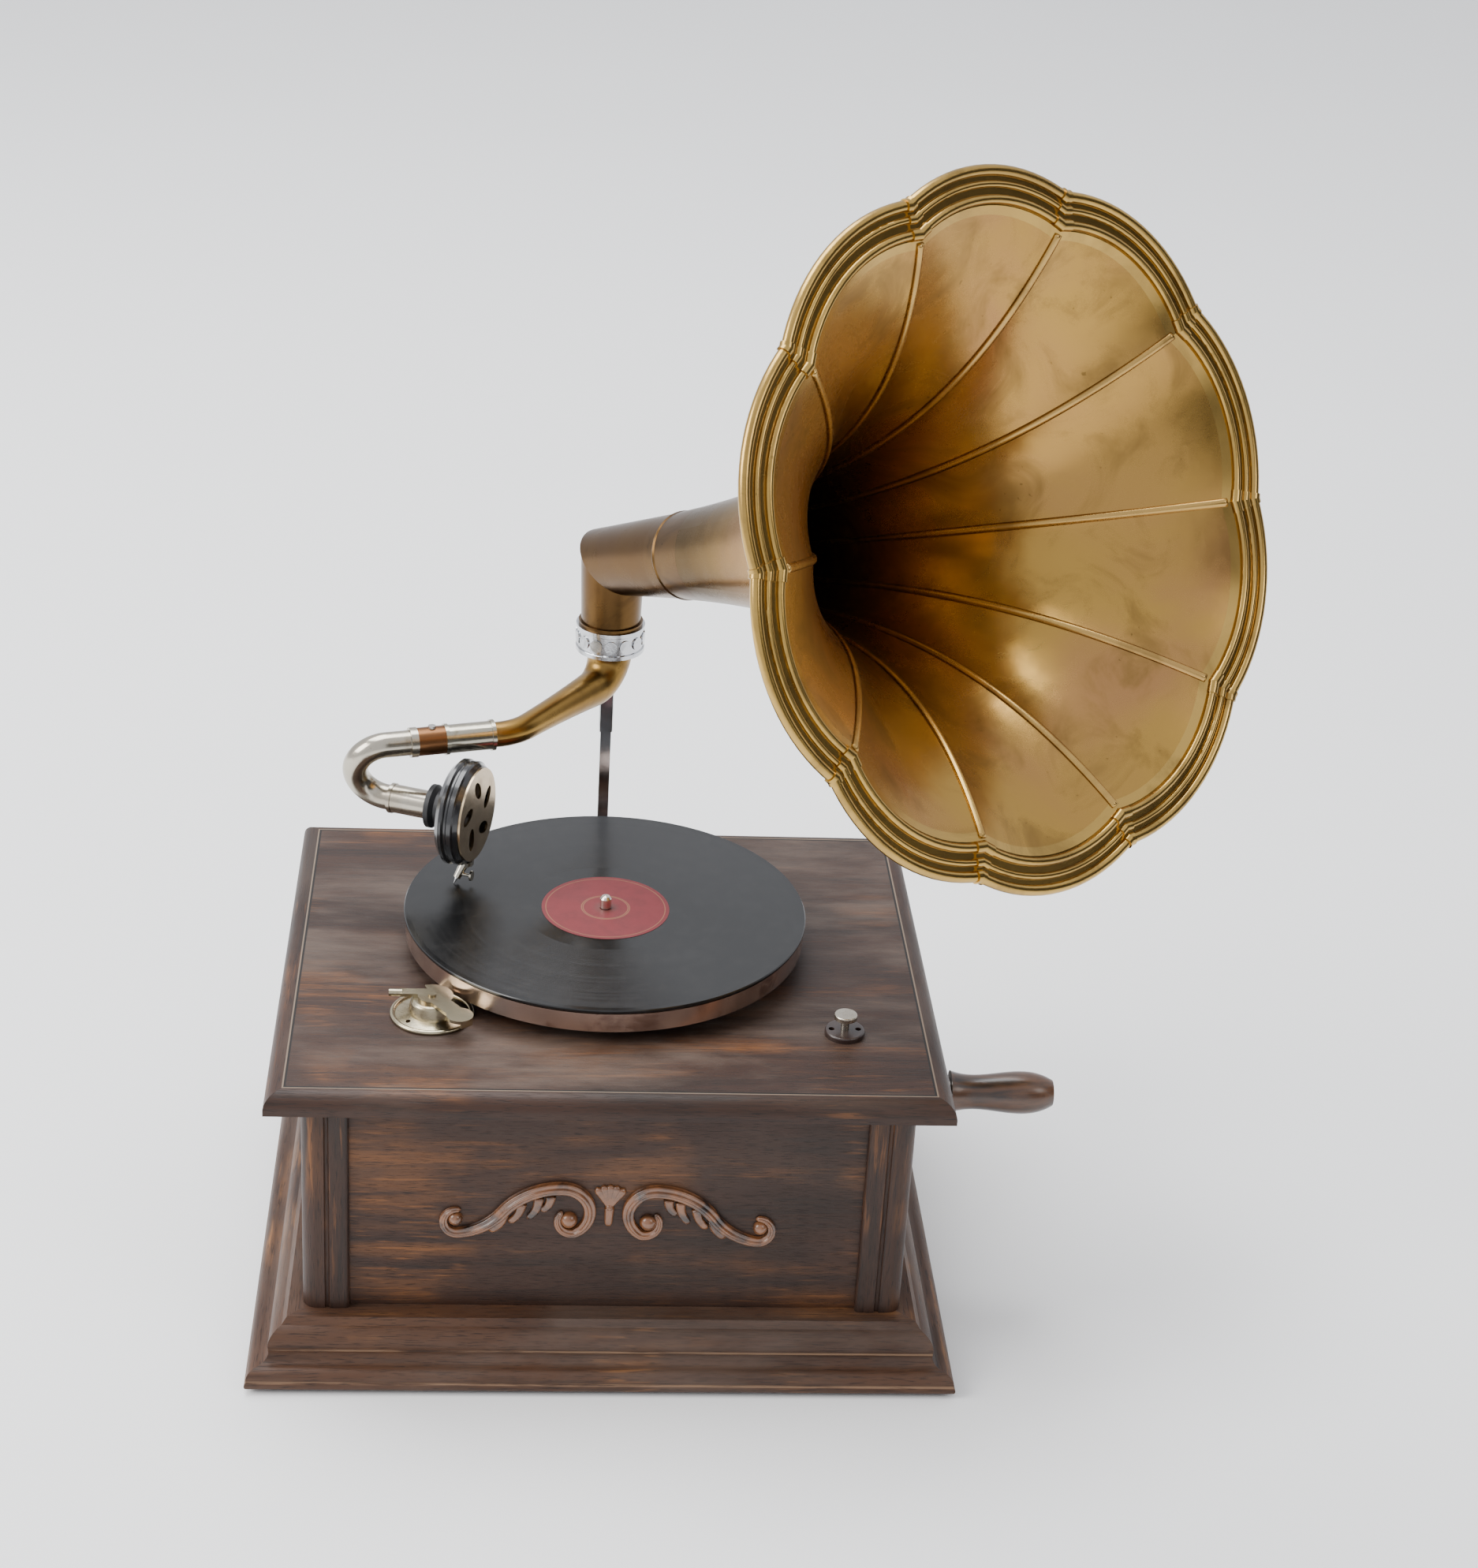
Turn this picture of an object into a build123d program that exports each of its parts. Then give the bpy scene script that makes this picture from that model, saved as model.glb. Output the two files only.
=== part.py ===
from build123d import *
import math
import os

# Gramophone with a ten petal brass horn on a moulded oak cabinet.
# Millimetres. X runs to the right, Y to the back, Z up.
# The origin is the centre of the bottom board's underside, on the floor.

# Cabinet
body_width = 360.0
body_depth = 301.0
body_height = 147.5
base_overhang = 32.5
base_width = body_width + 2 * base_overhang
base_depth = body_depth + 2 * base_overhang
floor_gap = 3.0
plinth_height = 36.5
plinth_bead_height = 5.0
plinth_ogee_height = 14.0
plinth_ogee_inset = 13.5
plinth_thumb_height = 12.0
plinth_thumb_inset = 7.5
plinth_fillet_height = 4.0
plinth_fillet_inset = 3.0
plinth_lap = 14.0
plinth_step = 1.2
post_size = 28.0
post_round = 9.0
reed_round = 2.5
groove_width = 3.0
panel_thickness = 9.0
panel_setback = 4.5
bottom_thickness = 12.0
lid_overhang = 19.5
lid_width = body_width + 2 * lid_overhang
lid_depth = body_depth + 2 * lid_overhang
lid_thickness = 13.0
lid_moulding_width = 12.0
lid_edge_height = 3.0
lid_crown_width = 2.0

# Carved ornament on the front panel
ornament_centre_x = 1.0
ornament_centre_z = 103.0
ornament_tilt = 1.4
ornament_rise = 1.0
ornament_stem_radius = 4.2
ornament_tip_radius = 1.4
ornament_sections = 40
ornament_small_eye = (-90.6, -2.6)
ornament_small_eye_radius = 4.6
ornament_big_eye = (-23.5, -1.0)
ornament_big_eye_radius = 5.4
ornament_leaf_start = [(-62.0, 1.5), (-52.0, 9.0), (-42.0, 13.5), (-35.0, 15.0)]
ornament_leaf_end = [(-70.5, -11.0), (-59.5, -4.5), (-48.5, -1.5), (-40.8, 4.5)]
ornament_leaf_root_radius = 3.0
ornament_leaf_tip_radius = 2.0
ornament_lobe_foot = 9.0
ornament_lobe_length = 16.5
ornament_lobe_spread = 32.0
ornament_lobe_root_radius = 1.2
ornament_lobe_tip_radius = 2.6
ornament_lobe_count = 5
ornament_drop_top = 7.0
ornament_drop_bottom = -3.5
ornament_drop_radius = 2.6

# Turntable
spindle_x = -2.0
spindle_y = 16.0
platter_radius = 124.0
platter_gap = 9.0
platter_height = 12.0
platter_plate = 3.0
platter_rim = 3.0
platter_hub_radius = 15.0
platter_hub_drop = 5.0
felt_radius = 122.0
felt_thickness = 0.8
record_radius = 125.0
record_thickness = 2.2
label_radius = 39.8
label_thickness = 0.2
spindle_nose_radius = 3.6
spindle_nose_height = 6.0
spindle_waist_radius = 3.2
spindle_waist_height = 0.5
spindle_stem_radius = 5.0

# Spring motor under the top board
motor_plate_length = 200.0
motor_plate_width = 150.0
motor_plate_thickness = 3.0
motor_case_length = 124.0
motor_case_width = 104.0
motor_case_wall = 2.5
motor_foot_height = 14.0
motor_foot_radius = 11.0
motor_bush_radius = 12.0
motor_bush_height = 8.0
barrel_radius = 33.0
barrel_width = 34.0
barrel_wall = 2.0
barrel_clearance = 1.5
ratchet_radius = 20.0
ratchet_teeth = 18
ratchet_depth = 3.0
ratchet_thickness = 4.0
motor_screw_radius = 2.5
motor_screw_head_radius = 5.0
motor_screw_head_height = 2.5
motor_screw_inset = 12.0
motor_screw_length = 10.0

# Winding crank on the right side
shaft_y = 10.0
shaft_height = 128.0
shaft_radius = 4.0
escutcheon_radius = 18.0
escutcheon_thickness = 2.5
escutcheon_sleeve_radius = 8.0
crank_side_gap = 4.5
crank_arm_thickness = 8.0
crank_arm_width = 15.0
crank_throw = 70.0
crank_rest_angle = 10.0
crank_pin_radius = 4.0
crank_pin_length = 50.0
handle_length = 64.0
handle_collar_radius = 13.2
handle_neck_radius = 10.8
handle_belly_radius = 13.2
handle_end_radius = 8.0
handle_neck_at = 17.0
handle_belly_at = 46.0
handle_gap = 0.5

# Brake and speed control on the top board
brake_x = -106.5
brake_y = -75.5
brake_flange_radius = 25.0
brake_flange_inner_radius = 22.0
brake_flange_thickness = 2.6
brake_flange_sheet = 1.2
brake_boss_radius = 14.4
brake_boss_top_radius = 12.4
brake_boss_height = 8.4
brake_boss_round = 2.5
brake_pin_radius = 2.5
brake_pin_height = 3.2
brake_hole_radius = 1.5
brake_hole_reach = 18.2
brake_hole_angle = -139.0
brake_lever_thickness = 2.0
brake_hub_radius = 8.5
brake_strap_width = 6.5
brake_strap_reach = 19.0
brake_grip_radius = 2.2
brake_grip_length = 8.5
brake_paddle_x = 17.0
brake_paddle_y = -22.0
brake_paddle_radius = 8.0
brake_neck_width = 11.0
brake_shoe_height = 5.0
brake_shoe_thickness = 1.4
brake_crescent_radius = 12.6
brake_crescent_width = 4.2
brake_crescent_start = -38.0
brake_crescent_turn = 150.0
speed_x = 140.0
speed_y = -91.0
speed_base_radius = 12.0
speed_base_height = 3.5
speed_hole_radius = 1.8
speed_hole_reach = 8.0
speed_stem_radius = 2.5
speed_stem_height = 11.0
speed_disc_radius = 6.9
speed_disc_height = 3.0

# Bracket that carries the horn and the tone arm
ring_standoff = 21.5
ring_y = body_depth / 2 + ring_standoff
ring_base_height = 332.0
ring_height = 18.0
ring_radius = 22.4
ring_band_radius = 21.5
ring_rim_height = 2.6
ring_egg_count = 14
ring_egg_radius = 4.2
ring_egg_rise = 0.8
ring_seat_height = 3.0
bracket_thickness = 7.0
bracket_depth = 13.0
bracket_block_width = 9.0
bracket_block_drop = 70.0
bracket_stand_reach = 25.0
bracket_stand_y = ring_y + bracket_stand_reach
bracket_foot_width = 46.0
bracket_foot_height = 84.0
bracket_foot_thickness = 6.0
bracket_foot_centre_height = 126.0
bracket_turn_height = 172.0
bracket_bend_radius = 30.0
bracket_screw_radius = 2.5
bracket_screw_head_radius = 4.5
bracket_screw_head_height = 2.2
bracket_screw_rise = 30.0
bracket_screw_reach = 15.0
bracket_screw_length = 12.0

# Horn, whose axis leaves the elbow centre straight above the ring
elbow_height = 393.3
horn_yaw = 37.5
horn_pitch = 21.4
horn_length = 377.0
horn_wall = 0.9
horn_throat_radius = 22.2
horn_taper = 0.031
horn_flare = 2.0
horn_flare_length = 88.8
elbow_foot_radius = 19.35
elbow_top_radius = 20.6
elbow_sleeve_length = 67.0
elbow_spigot = 9.0
elbow_bead_radius = 20.9
elbow_bead_height = 2.4
throat_length = 37.0
throat_spigot = 9.0
throat_bead_rise = 0.8
throat_bead_at = 10.0
throat_bead_width = 3.0
petal_count = 10
petal_stations = 9
seam_phase = 12.3
lobe_reach = 86.0
lobe_growth = 2.5
rim_skirt = 3.0
rim_overlap = 1.0
rim_band_width = 21.5
rim_bead_radius = 2.6
rim_ridge_radius = 1.9
rim_hem_radius = 3.2
rim_sheet = 1.2
clip_width = 4.6
clip_thickness = 0.9
seam_width = 4.0
seam_height = 1.2
seam_gap = 0.15

# Tone arm
neck_radius = 15.85
neck_flange_height = 3.0
arm_height = 309.0
arm_bend_x = -60.0
arm_bend_y = 88.0
arm_neck_bend_radius = 20.0
arm_head_bend_radius = 35.0
arm_head_angle = 15.2
arm_tube_wall = 1.2
arm_end_radius = 8.0
arm_taper_power = 2.2
arm_sections = 24
sleeve_length = 32.0
sleeve_radius = 9.1
sleeve_bead_radius = 9.9
sleeve_bead_width = 2.4
collar_length = 17.5
collar_radius = 9.0
collar_spigot = 10.0
collar_screw_radius = 1.4
collar_screw_head_radius = 2.4
collar_screw_head_height = 1.4

# Gooseneck and soundbox
gooseneck_radius = 8.2
gooseneck_wall = 1.0
gooseneck_bead_radius = 9.5
gooseneck_bead_length = 4.6
gooseneck_turn_x = -159.7
gooseneck_bend_radius = 18.0
soundbox_x = -84.1
soundbox_y = 48.2
soundbox_height = 271.0
soundbox_angle = 21.0
soundbox_radius = 33.5
soundbox_depth = 15.0
soundbox_groove = 1.6
soundbox_back = 4.0
diaphragm_radius = 27.5
diaphragm_thickness = 0.4
diaphragm_depth = 5.0
face_radius = 29.75
face_thickness = 1.5
face_hole_count = 5
face_hole_length = 15.0
face_hole_width = 8.0
face_hole_at = 16.5
flange_length = 15.0
flange_radius = 13.8
flange_waist_radius = 11.2
flange_front_radius = 19.0
flange_grip = 8.0
end_sleeve_length = 27.0
end_sleeve_radius = 9.0
end_sleeve_bead_radius = 9.6
end_sleeve_bead_width = 2.2
needle_lean_side = 30.3
needle_lean_back = 20.7
needle_tip_back = 10.6
needle_tip_side = -8.7
needle_length = 13.0
needle_radius = 0.9
needle_point = 3.0
chuck_start = 4.0
chuck_length = 11.0
chuck_tip_radius = 2.3
chuck_top_radius = 3.1
screw_at = 7.0
screw_shank_radius = 1.0
screw_shank_length = 6.5
screw_disc_radius = 3.2
screw_disc_thickness = 1.2
stylus_block_width = 4.4
stylus_block_height = 3.2
stylus_block_front = 1.5
stylus_block_back = 17.0
stylus_arm_width = 1.6
stylus_arm_slot = 3.0
stylus_pad_radius = 3.0

# Fits
running_clearance = 0.05
press_gap = 0.03
needle_gap = 0.2
surface_gap = 0.3
arc_share = 1 - math.sqrt(0.5)

# Levels and places that follow from the sizes above
plinth_top = floor_gap + plinth_height
body_top = plinth_top + body_height
board_top = body_top + lid_thickness
motor_plate_bottom = body_top - motor_plate_thickness
motor_case_bottom = shaft_height - barrel_radius - barrel_clearance - motor_case_wall
panel_face_y = body_depth / 2 - panel_setback
panel_face_x = body_width / 2 - panel_setback
platter_bottom = board_top + platter_gap
platter_top = platter_bottom + platter_height
felt_top = platter_top + felt_thickness
record_top = felt_top + record_thickness
label_top = record_top + label_thickness
ring_top = ring_base_height + ring_height
ring_bore = elbow_foot_radius + running_clearance
elbow_centre = Vector(0, ring_y, elbow_height)


def block(x0, x1, y0, y1, z0, z1):
    """Box between three pairs of limits."""
    middle = Pos((x0 + x1) / 2, (y0 + y1) / 2, (z0 + z1) / 2)
    return middle * Box(x1 - x0, y1 - y0, z1 - z0)


def column(x, y, z0, z1, radius):
    """Upright cylinder between two levels."""
    return Pos(x, y, (z0 + z1) / 2) * Cylinder(radius, z1 - z0)


def rod(start, end, radius, end_radius=None):
    """Round bar, or a cone, from one point to another."""
    axis = end - start
    place = Plane(origin=start + axis * 0.5, z_dir=axis)
    if end_radius is None or abs(end_radius - radius) < 1e-9:
        return place.location * Cylinder(radius, axis.length)
    return place.location * Cone(radius, end_radius, axis.length)


def turned(points):
    """Solid of revolution about Z from points of radius and height."""
    return revolve(Plane.XZ * make_face(Polyline(*points, close=True)), Axis.Z)


def solids_of(shape):
    """Separate solids of a shape."""
    return list(shape.solids())


def save(name, shape):
    """Writes one node."""
    pieces = shape if isinstance(shape, list) else [shape]
    solids = [solid for piece in pieces for solid in piece.solids()]
    whole = solids[0] if len(solids) == 1 else Compound(children=solids)
    whole.label = name
    export_step(whole, f"parts/{name}.step")


def moulding_side(outline, run_half, face_half, lap):
    """One mitred length of moulding along X on the front side.

    The outline holds the inset from the outer face and the height.
    """
    start = Plane(origin=(-run_half, -face_half, 0), x_dir=(0, 1, 0), z_dir=(1, 0, 0))
    length = extrude(start * make_face(outline), 2 * run_half)
    corners = [
        (-run_half, -face_half),
        (run_half, -face_half),
        (run_half - lap, -face_half + lap),
        (-run_half + lap, -face_half + lap),
    ]
    top = length.bounding_box().max.Z + 1
    mitre = extrude(make_face(Polyline(*corners, close=True)), top)
    return length & mitre


def moulding_frame(outline, width, depth, lap):
    """Four mitred lengths round a rectangle."""
    long_side = moulding_side(outline, width / 2, depth / 2, lap)
    short_side = moulding_side(outline, depth / 2, width / 2, lap)
    return [
        long_side,
        Rot(0, 0, 180) * long_side,
        Rot(0, 0, 90) * short_side,
        Rot(0, 0, -90) * short_side,
    ]


def plinth():
    """Plinth moulding with bead, ogee, thumb and fillet."""
    inner = base_overhang + plinth_lap
    bead_top = floor_gap + plinth_bead_height
    ogee_top = bead_top + plinth_ogee_height
    thumb_base = ogee_top + plinth_step
    thumb_top = thumb_base + plinth_thumb_height
    fillet_top = thumb_top + plinth_fillet_height
    thumb_inset = plinth_ogee_inset + plinth_thumb_inset
    fillet_inset = thumb_inset + plinth_fillet_inset
    middle_inset = (plinth_step + plinth_ogee_inset) / 2
    middle_height = (bead_top + ogee_top) / 2
    bulge = plinth_step * 1.4
    outline = (
        ThreePointArc((plinth_step, floor_gap), (0, floor_gap + plinth_bead_height / 2), (plinth_step, bead_top))
        + ThreePointArc(
            (plinth_step, bead_top),
            ((plinth_step + middle_inset) / 2 - bulge, (bead_top + middle_height) / 2 + bulge),
            (middle_inset, middle_height),
        )
        + ThreePointArc(
            (middle_inset, middle_height),
            ((middle_inset + plinth_ogee_inset) / 2 + bulge, (middle_height + ogee_top) / 2 - bulge),
            (plinth_ogee_inset, ogee_top),
        )
        + Line((plinth_ogee_inset, ogee_top), (plinth_ogee_inset, thumb_base))
        + ThreePointArc(
            (plinth_ogee_inset, thumb_base),
            (plinth_ogee_inset + plinth_thumb_inset * arc_share, thumb_base + plinth_thumb_height * (1 - arc_share)),
            (thumb_inset, thumb_top),
        )
        + Line((thumb_inset, thumb_top), (fillet_inset, fillet_top))
        + Line((fillet_inset, fillet_top), (fillet_inset, plinth_top))
        + Line((fillet_inset, plinth_top), (inner, plinth_top))
        + Line((inner, plinth_top), (inner, floor_gap))
        + Line((inner, floor_gap), (plinth_step, floor_gap))
    )
    return moulding_frame(outline, base_width, base_depth, inner)


def lid_moulding():
    """Rounded frame let round the edge of the top board."""
    shoulder = lid_moulding_width - lid_crown_width
    rise = lid_thickness - lid_edge_height
    outline = (
        Line((0, body_top), (0, body_top + lid_edge_height))
        + ThreePointArc(
            (0, body_top + lid_edge_height),
            (shoulder * arc_share, body_top + lid_edge_height + rise * (1 - arc_share)),
            (shoulder, board_top),
        )
        + Line((shoulder, board_top), (lid_moulding_width, board_top))
        + Line((lid_moulding_width, board_top), (lid_moulding_width, body_top))
        + Line((lid_moulding_width, body_top), (0, body_top))
    )
    return moulding_frame(outline, lid_width, lid_depth, lid_moulding_width)


def corner_posts():
    """Four posts with a rounded outer corner and a groove on each outer face."""
    half = post_size / 2
    section = Rectangle(post_size, post_size)
    outer = section.vertices().sort_by(lambda v: v.X + v.Y)[0]
    section = fillet(outer, post_round)
    edges = [v for v in section.vertices() if abs(v.X - half) < 1e-6 and abs(v.Y + half) < 1e-6]
    edges += [v for v in section.vertices() if abs(v.Y - half) < 1e-6 and abs(v.X + half) < 1e-6]
    section = fillet(edges, reed_round)
    section -= Pos(1, -half) * Circle(groove_width / 2)
    section -= Pos(-half, 1) * Circle(groove_width / 2)
    post = extrude(section, body_height)
    x = body_width / 2 - half
    y = body_depth / 2 - half
    places = [(-x, -y, 0), (x, -y, 90), (x, y, 180), (-x, y, 270)]
    return [Pos(px, py, plinth_top) * Rot(0, 0, turn) * post for px, py, turn in places]


def panels():
    """Front, back, left and right panels between the posts."""
    reach_x = body_width / 2 - post_size
    reach_y = body_depth / 2 - post_size
    long_panel = block(-reach_x, reach_x, -panel_face_y, panel_thickness - panel_face_y, plinth_top, body_top)
    short_panel = block(panel_face_x - panel_thickness, panel_face_x, -reach_y, reach_y, plinth_top, body_top)
    bush_hole = rod(
        Vector(panel_face_x - 2 * panel_thickness, shaft_y, shaft_height),
        Vector(panel_face_x + panel_thickness, shaft_y, shaft_height),
        escutcheon_sleeve_radius + press_gap,
    )
    front = long_panel
    back = Rot(0, 0, 180) * long_panel
    left = Rot(0, 0, 180) * short_panel
    return front, back, left, short_panel - bush_hole


def bottom_board():
    """Board inside the plinth, standing a little proud of it below."""
    half_x = body_width / 2 - plinth_lap
    half_y = body_depth / 2 - plinth_lap
    return block(-half_x, half_x, -half_y, half_y, 0, bottom_thickness)


def top_board():
    """Board inside the lid moulding, bored for the spindle and the controls."""
    half_x = lid_width / 2 - lid_moulding_width
    half_y = lid_depth / 2 - lid_moulding_width
    board = block(-half_x, half_x, -half_y, half_y, body_top, board_top)
    board -= column(spindle_x, spindle_y, body_top - 1, board_top + 1, motor_bush_radius + surface_gap)
    for x, y in motor_screw_places():
        hole_top = motor_plate_bottom + motor_screw_length + press_gap
        board -= column(x, y, body_top - 1, hole_top, motor_screw_radius + press_gap)
    return board


def motor_screw_places():
    """Centres of the four screws that hold the motor plate."""
    reach_x = motor_plate_length / 2 - motor_screw_inset
    reach_y = motor_plate_width / 2 - motor_screw_inset
    return [(spindle_x + sx * reach_x, spindle_y + sy * reach_y) for sx in (-1, 1) for sy in (-1, 1)]


def scroll_route():
    """Centre line of one S scroll, from the small curl to the large one."""
    arcs = [
        ((-87.6, 3.6), (-97.6, -3.2), (-87.5, -12.2)),
        ((-87.5, -12.2), (-74.0, -7.0), (-62.0, 4.5)),
        ((-62.0, 4.5), (-46.5, 17.0), (-28.0, 21.4)),
        ((-28.0, 21.4), (-11.4, 6.4), (-20.2, -10.2)),
        ((-20.2, -10.2), (-30.0, -4.0), (-27.4, 4.6)),
    ]
    return Wire([edge for arc in arcs for edge in ThreePointArc(*arc).edges()])


def leaf(start, end, root, tip):
    """Rounded lobe between two points of the carving."""
    first = Vector(start[0], start[1], 0)
    last = Vector(end[0], end[1], 0)
    return rod(first, last, root, tip) + Pos(*first) * Sphere(root) + Pos(*last) * Sphere(tip)


def ornament():
    """Carved pair of S scrolls with a palmette and a drop between them."""
    route = scroll_route()
    sections = []
    for i in range(ornament_sections):
        share = i / (ornament_sections - 1)
        swell = math.sin(math.pi * share) ** 0.7
        radius = ornament_tip_radius + (ornament_stem_radius - ornament_tip_radius) * swell
        sections.append(Plane(origin=route @ share, x_dir=(0, 0, 1), z_dir=route % share) * Circle(radius))
    half = loft(sections)
    half += Pos(*ornament_small_eye) * Sphere(ornament_small_eye_radius)
    half += Pos(*ornament_big_eye) * Sphere(ornament_big_eye_radius)
    for start, end in zip(ornament_leaf_start, ornament_leaf_end):
        half += leaf(start, end, ornament_leaf_root_radius, ornament_leaf_tip_radius)
    middle = leaf(
        (0, ornament_drop_top), (0, ornament_drop_bottom), ornament_drop_radius, ornament_drop_radius * 0.8
    )
    for i in range(ornament_lobe_count):
        lean = math.radians(ornament_lobe_spread * (2 * i / (ornament_lobe_count - 1) - 1))
        reach = ornament_lobe_length
        tip = (reach * math.sin(lean), ornament_lobe_foot + reach * math.cos(lean))
        middle += leaf((0, ornament_lobe_foot), tip, ornament_lobe_root_radius, ornament_lobe_tip_radius)
    front = Pos(0, 0, 50 - ornament_rise) * Box(400, 200, 100)
    carving = [half & front, mirror(half, Plane.YZ) & front, middle & front]
    face = Plane(
        origin=(ornament_centre_x, -panel_face_y, ornament_centre_z), x_dir=(1, 0, 0), z_dir=(0, -1, 0)
    )
    place = face.location * Rot(0, 0, -ornament_tilt) * Pos(0, 0, ornament_rise)
    return [place * piece for piece in carving]


def turntable():
    """Platter, felt, record, label and spindle, about the spindle axis."""
    bore = spindle_stem_radius + press_gap
    hub_bottom = platter_top - platter_plate - platter_hub_drop
    plate_bottom = platter_top - platter_plate
    rim_inner = platter_radius - platter_rim
    platter = turned(
        [
            (bore, hub_bottom),
            (platter_hub_radius, hub_bottom),
            (platter_hub_radius, plate_bottom),
            (rim_inner, plate_bottom),
            (rim_inner, platter_bottom),
            (platter_radius, platter_bottom),
            (platter_radius, platter_top),
            (bore, platter_top),
        ]
    )
    nose = spindle_nose_radius + press_gap
    felt = turned([(nose, platter_top), (felt_radius, platter_top), (felt_radius, felt_top), (nose, felt_top)])
    edge = record_thickness / 2
    record = turned(
        [
            (nose, felt_top),
            (record_radius - edge / 2, felt_top),
            (record_radius, felt_top + edge / 2),
            (record_radius, record_top - edge / 2),
            (record_radius - edge / 2, record_top),
            (nose, record_top),
        ]
    )
    label = turned([(nose, record_top), (label_radius, record_top), (label_radius, label_top), (nose, label_top)])
    bearing_bottom = motor_case_bottom + motor_case_wall + surface_gap
    spindle = column(0, 0, bearing_bottom, platter_top, spindle_stem_radius)
    nose_bottom = label_top + spindle_waist_height
    nose_top = nose_bottom + spindle_nose_height
    tip = spindle_nose_radius * 0.6
    spindle += turned(
        [
            (0, platter_top - 1),
            (spindle_waist_radius, platter_top - 1),
            (spindle_waist_radius, nose_bottom),
            (spindle_nose_radius, nose_bottom),
            (spindle_nose_radius, nose_top),
            (spindle_nose_radius - tip / 2, nose_top + tip * 0.7),
            (0, nose_top + tip),
        ]
    )
    place = Pos(spindle_x, spindle_y, 0)
    return [place * piece for piece in (platter, felt, record, label, spindle)]


def motor():
    """Plate, case, spring barrel and screws under the top board."""
    plate_bottom = motor_plate_bottom
    case_bottom = motor_case_bottom
    half_l = motor_plate_length / 2
    half_w = motor_plate_width / 2
    bore = spindle_stem_radius + running_clearance
    plate = block(
        spindle_x - half_l, spindle_x + half_l, spindle_y - half_w, spindle_y + half_w, plate_bottom, body_top
    )
    plate += column(spindle_x, spindle_y, plate_bottom, body_top + motor_bush_height, motor_bush_radius)
    plate -= column(spindle_x, spindle_y, plate_bottom - 1, board_top, bore)
    case_l = motor_case_length / 2
    case_w = motor_case_width / 2
    wall = motor_case_wall
    case = block(
        spindle_x - case_l, spindle_x + case_l, spindle_y - case_w, spindle_y + case_w, case_bottom, plate_bottom
    )
    case -= block(
        spindle_x - case_l + wall,
        spindle_x + case_l - wall,
        spindle_y - case_w + wall,
        spindle_y + case_w - wall,
        case_bottom + wall,
        plate_bottom + 1,
    )
    foot_top = case_bottom + motor_foot_height
    case += column(spindle_x, spindle_y, case_bottom, foot_top, motor_foot_radius)
    case -= column(spindle_x, spindle_y, case_bottom + wall, foot_top + 1, bore)
    shaft_bore = shaft_radius + running_clearance
    case -= rod(
        Vector(spindle_x + case_l - 2 * wall, shaft_y, shaft_height),
        Vector(spindle_x + case_l + wall, shaft_y, shaft_height),
        shaft_bore,
    )
    barrel_end = spindle_x + case_l - wall - ratchet_thickness - 2 * surface_gap
    barrel_start = barrel_end - barrel_width
    barrel_place = Pos(0, shaft_y, shaft_height) * Rot(0, 90, 0)
    barrel_inner = barrel_radius - barrel_wall
    core = shaft_radius + running_clearance
    barrel = turned(
        [
            (core, barrel_start),
            (barrel_radius, barrel_start),
            (barrel_radius, barrel_end),
            (core, barrel_end),
            (core, barrel_end - barrel_wall),
            (barrel_inner, barrel_end - barrel_wall),
            (barrel_inner, barrel_start + barrel_wall),
            (core, barrel_start + barrel_wall),
        ]
    )
    screws = []
    for x, y in motor_screw_places():
        plate -= column(x, y, plate_bottom - 1, body_top + 1, motor_screw_radius + press_gap)
        head = column(x, y, plate_bottom - motor_screw_head_height, plate_bottom, motor_screw_head_radius)
        screws.append(head + column(x, y, plate_bottom, plate_bottom + motor_screw_length, motor_screw_radius))
    return plate, case, barrel_place * barrel, screws


def ratchet_wheel():
    """Ratchet on the winding shaft, beside the spring barrel."""
    end = spindle_x + motor_case_length / 2 - motor_case_wall - surface_gap
    points = []
    for i in range(ratchet_teeth):
        root = math.radians(360 * i / ratchet_teeth)
        tip = math.radians(360 * (i + 0.85) / ratchet_teeth)
        inner = ratchet_radius - ratchet_depth
        points.append((inner * math.cos(root), inner * math.sin(root)))
        points.append((ratchet_radius * math.cos(tip), ratchet_radius * math.sin(tip)))
    wheel = make_face(Polyline(*points, close=True)) - Circle(shaft_radius + press_gap)
    place = Plane(origin=(end - ratchet_thickness, shaft_y, shaft_height), x_dir=(0, 1, 0), z_dir=(1, 0, 0))
    return extrude(place * wheel, ratchet_thickness)


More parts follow.
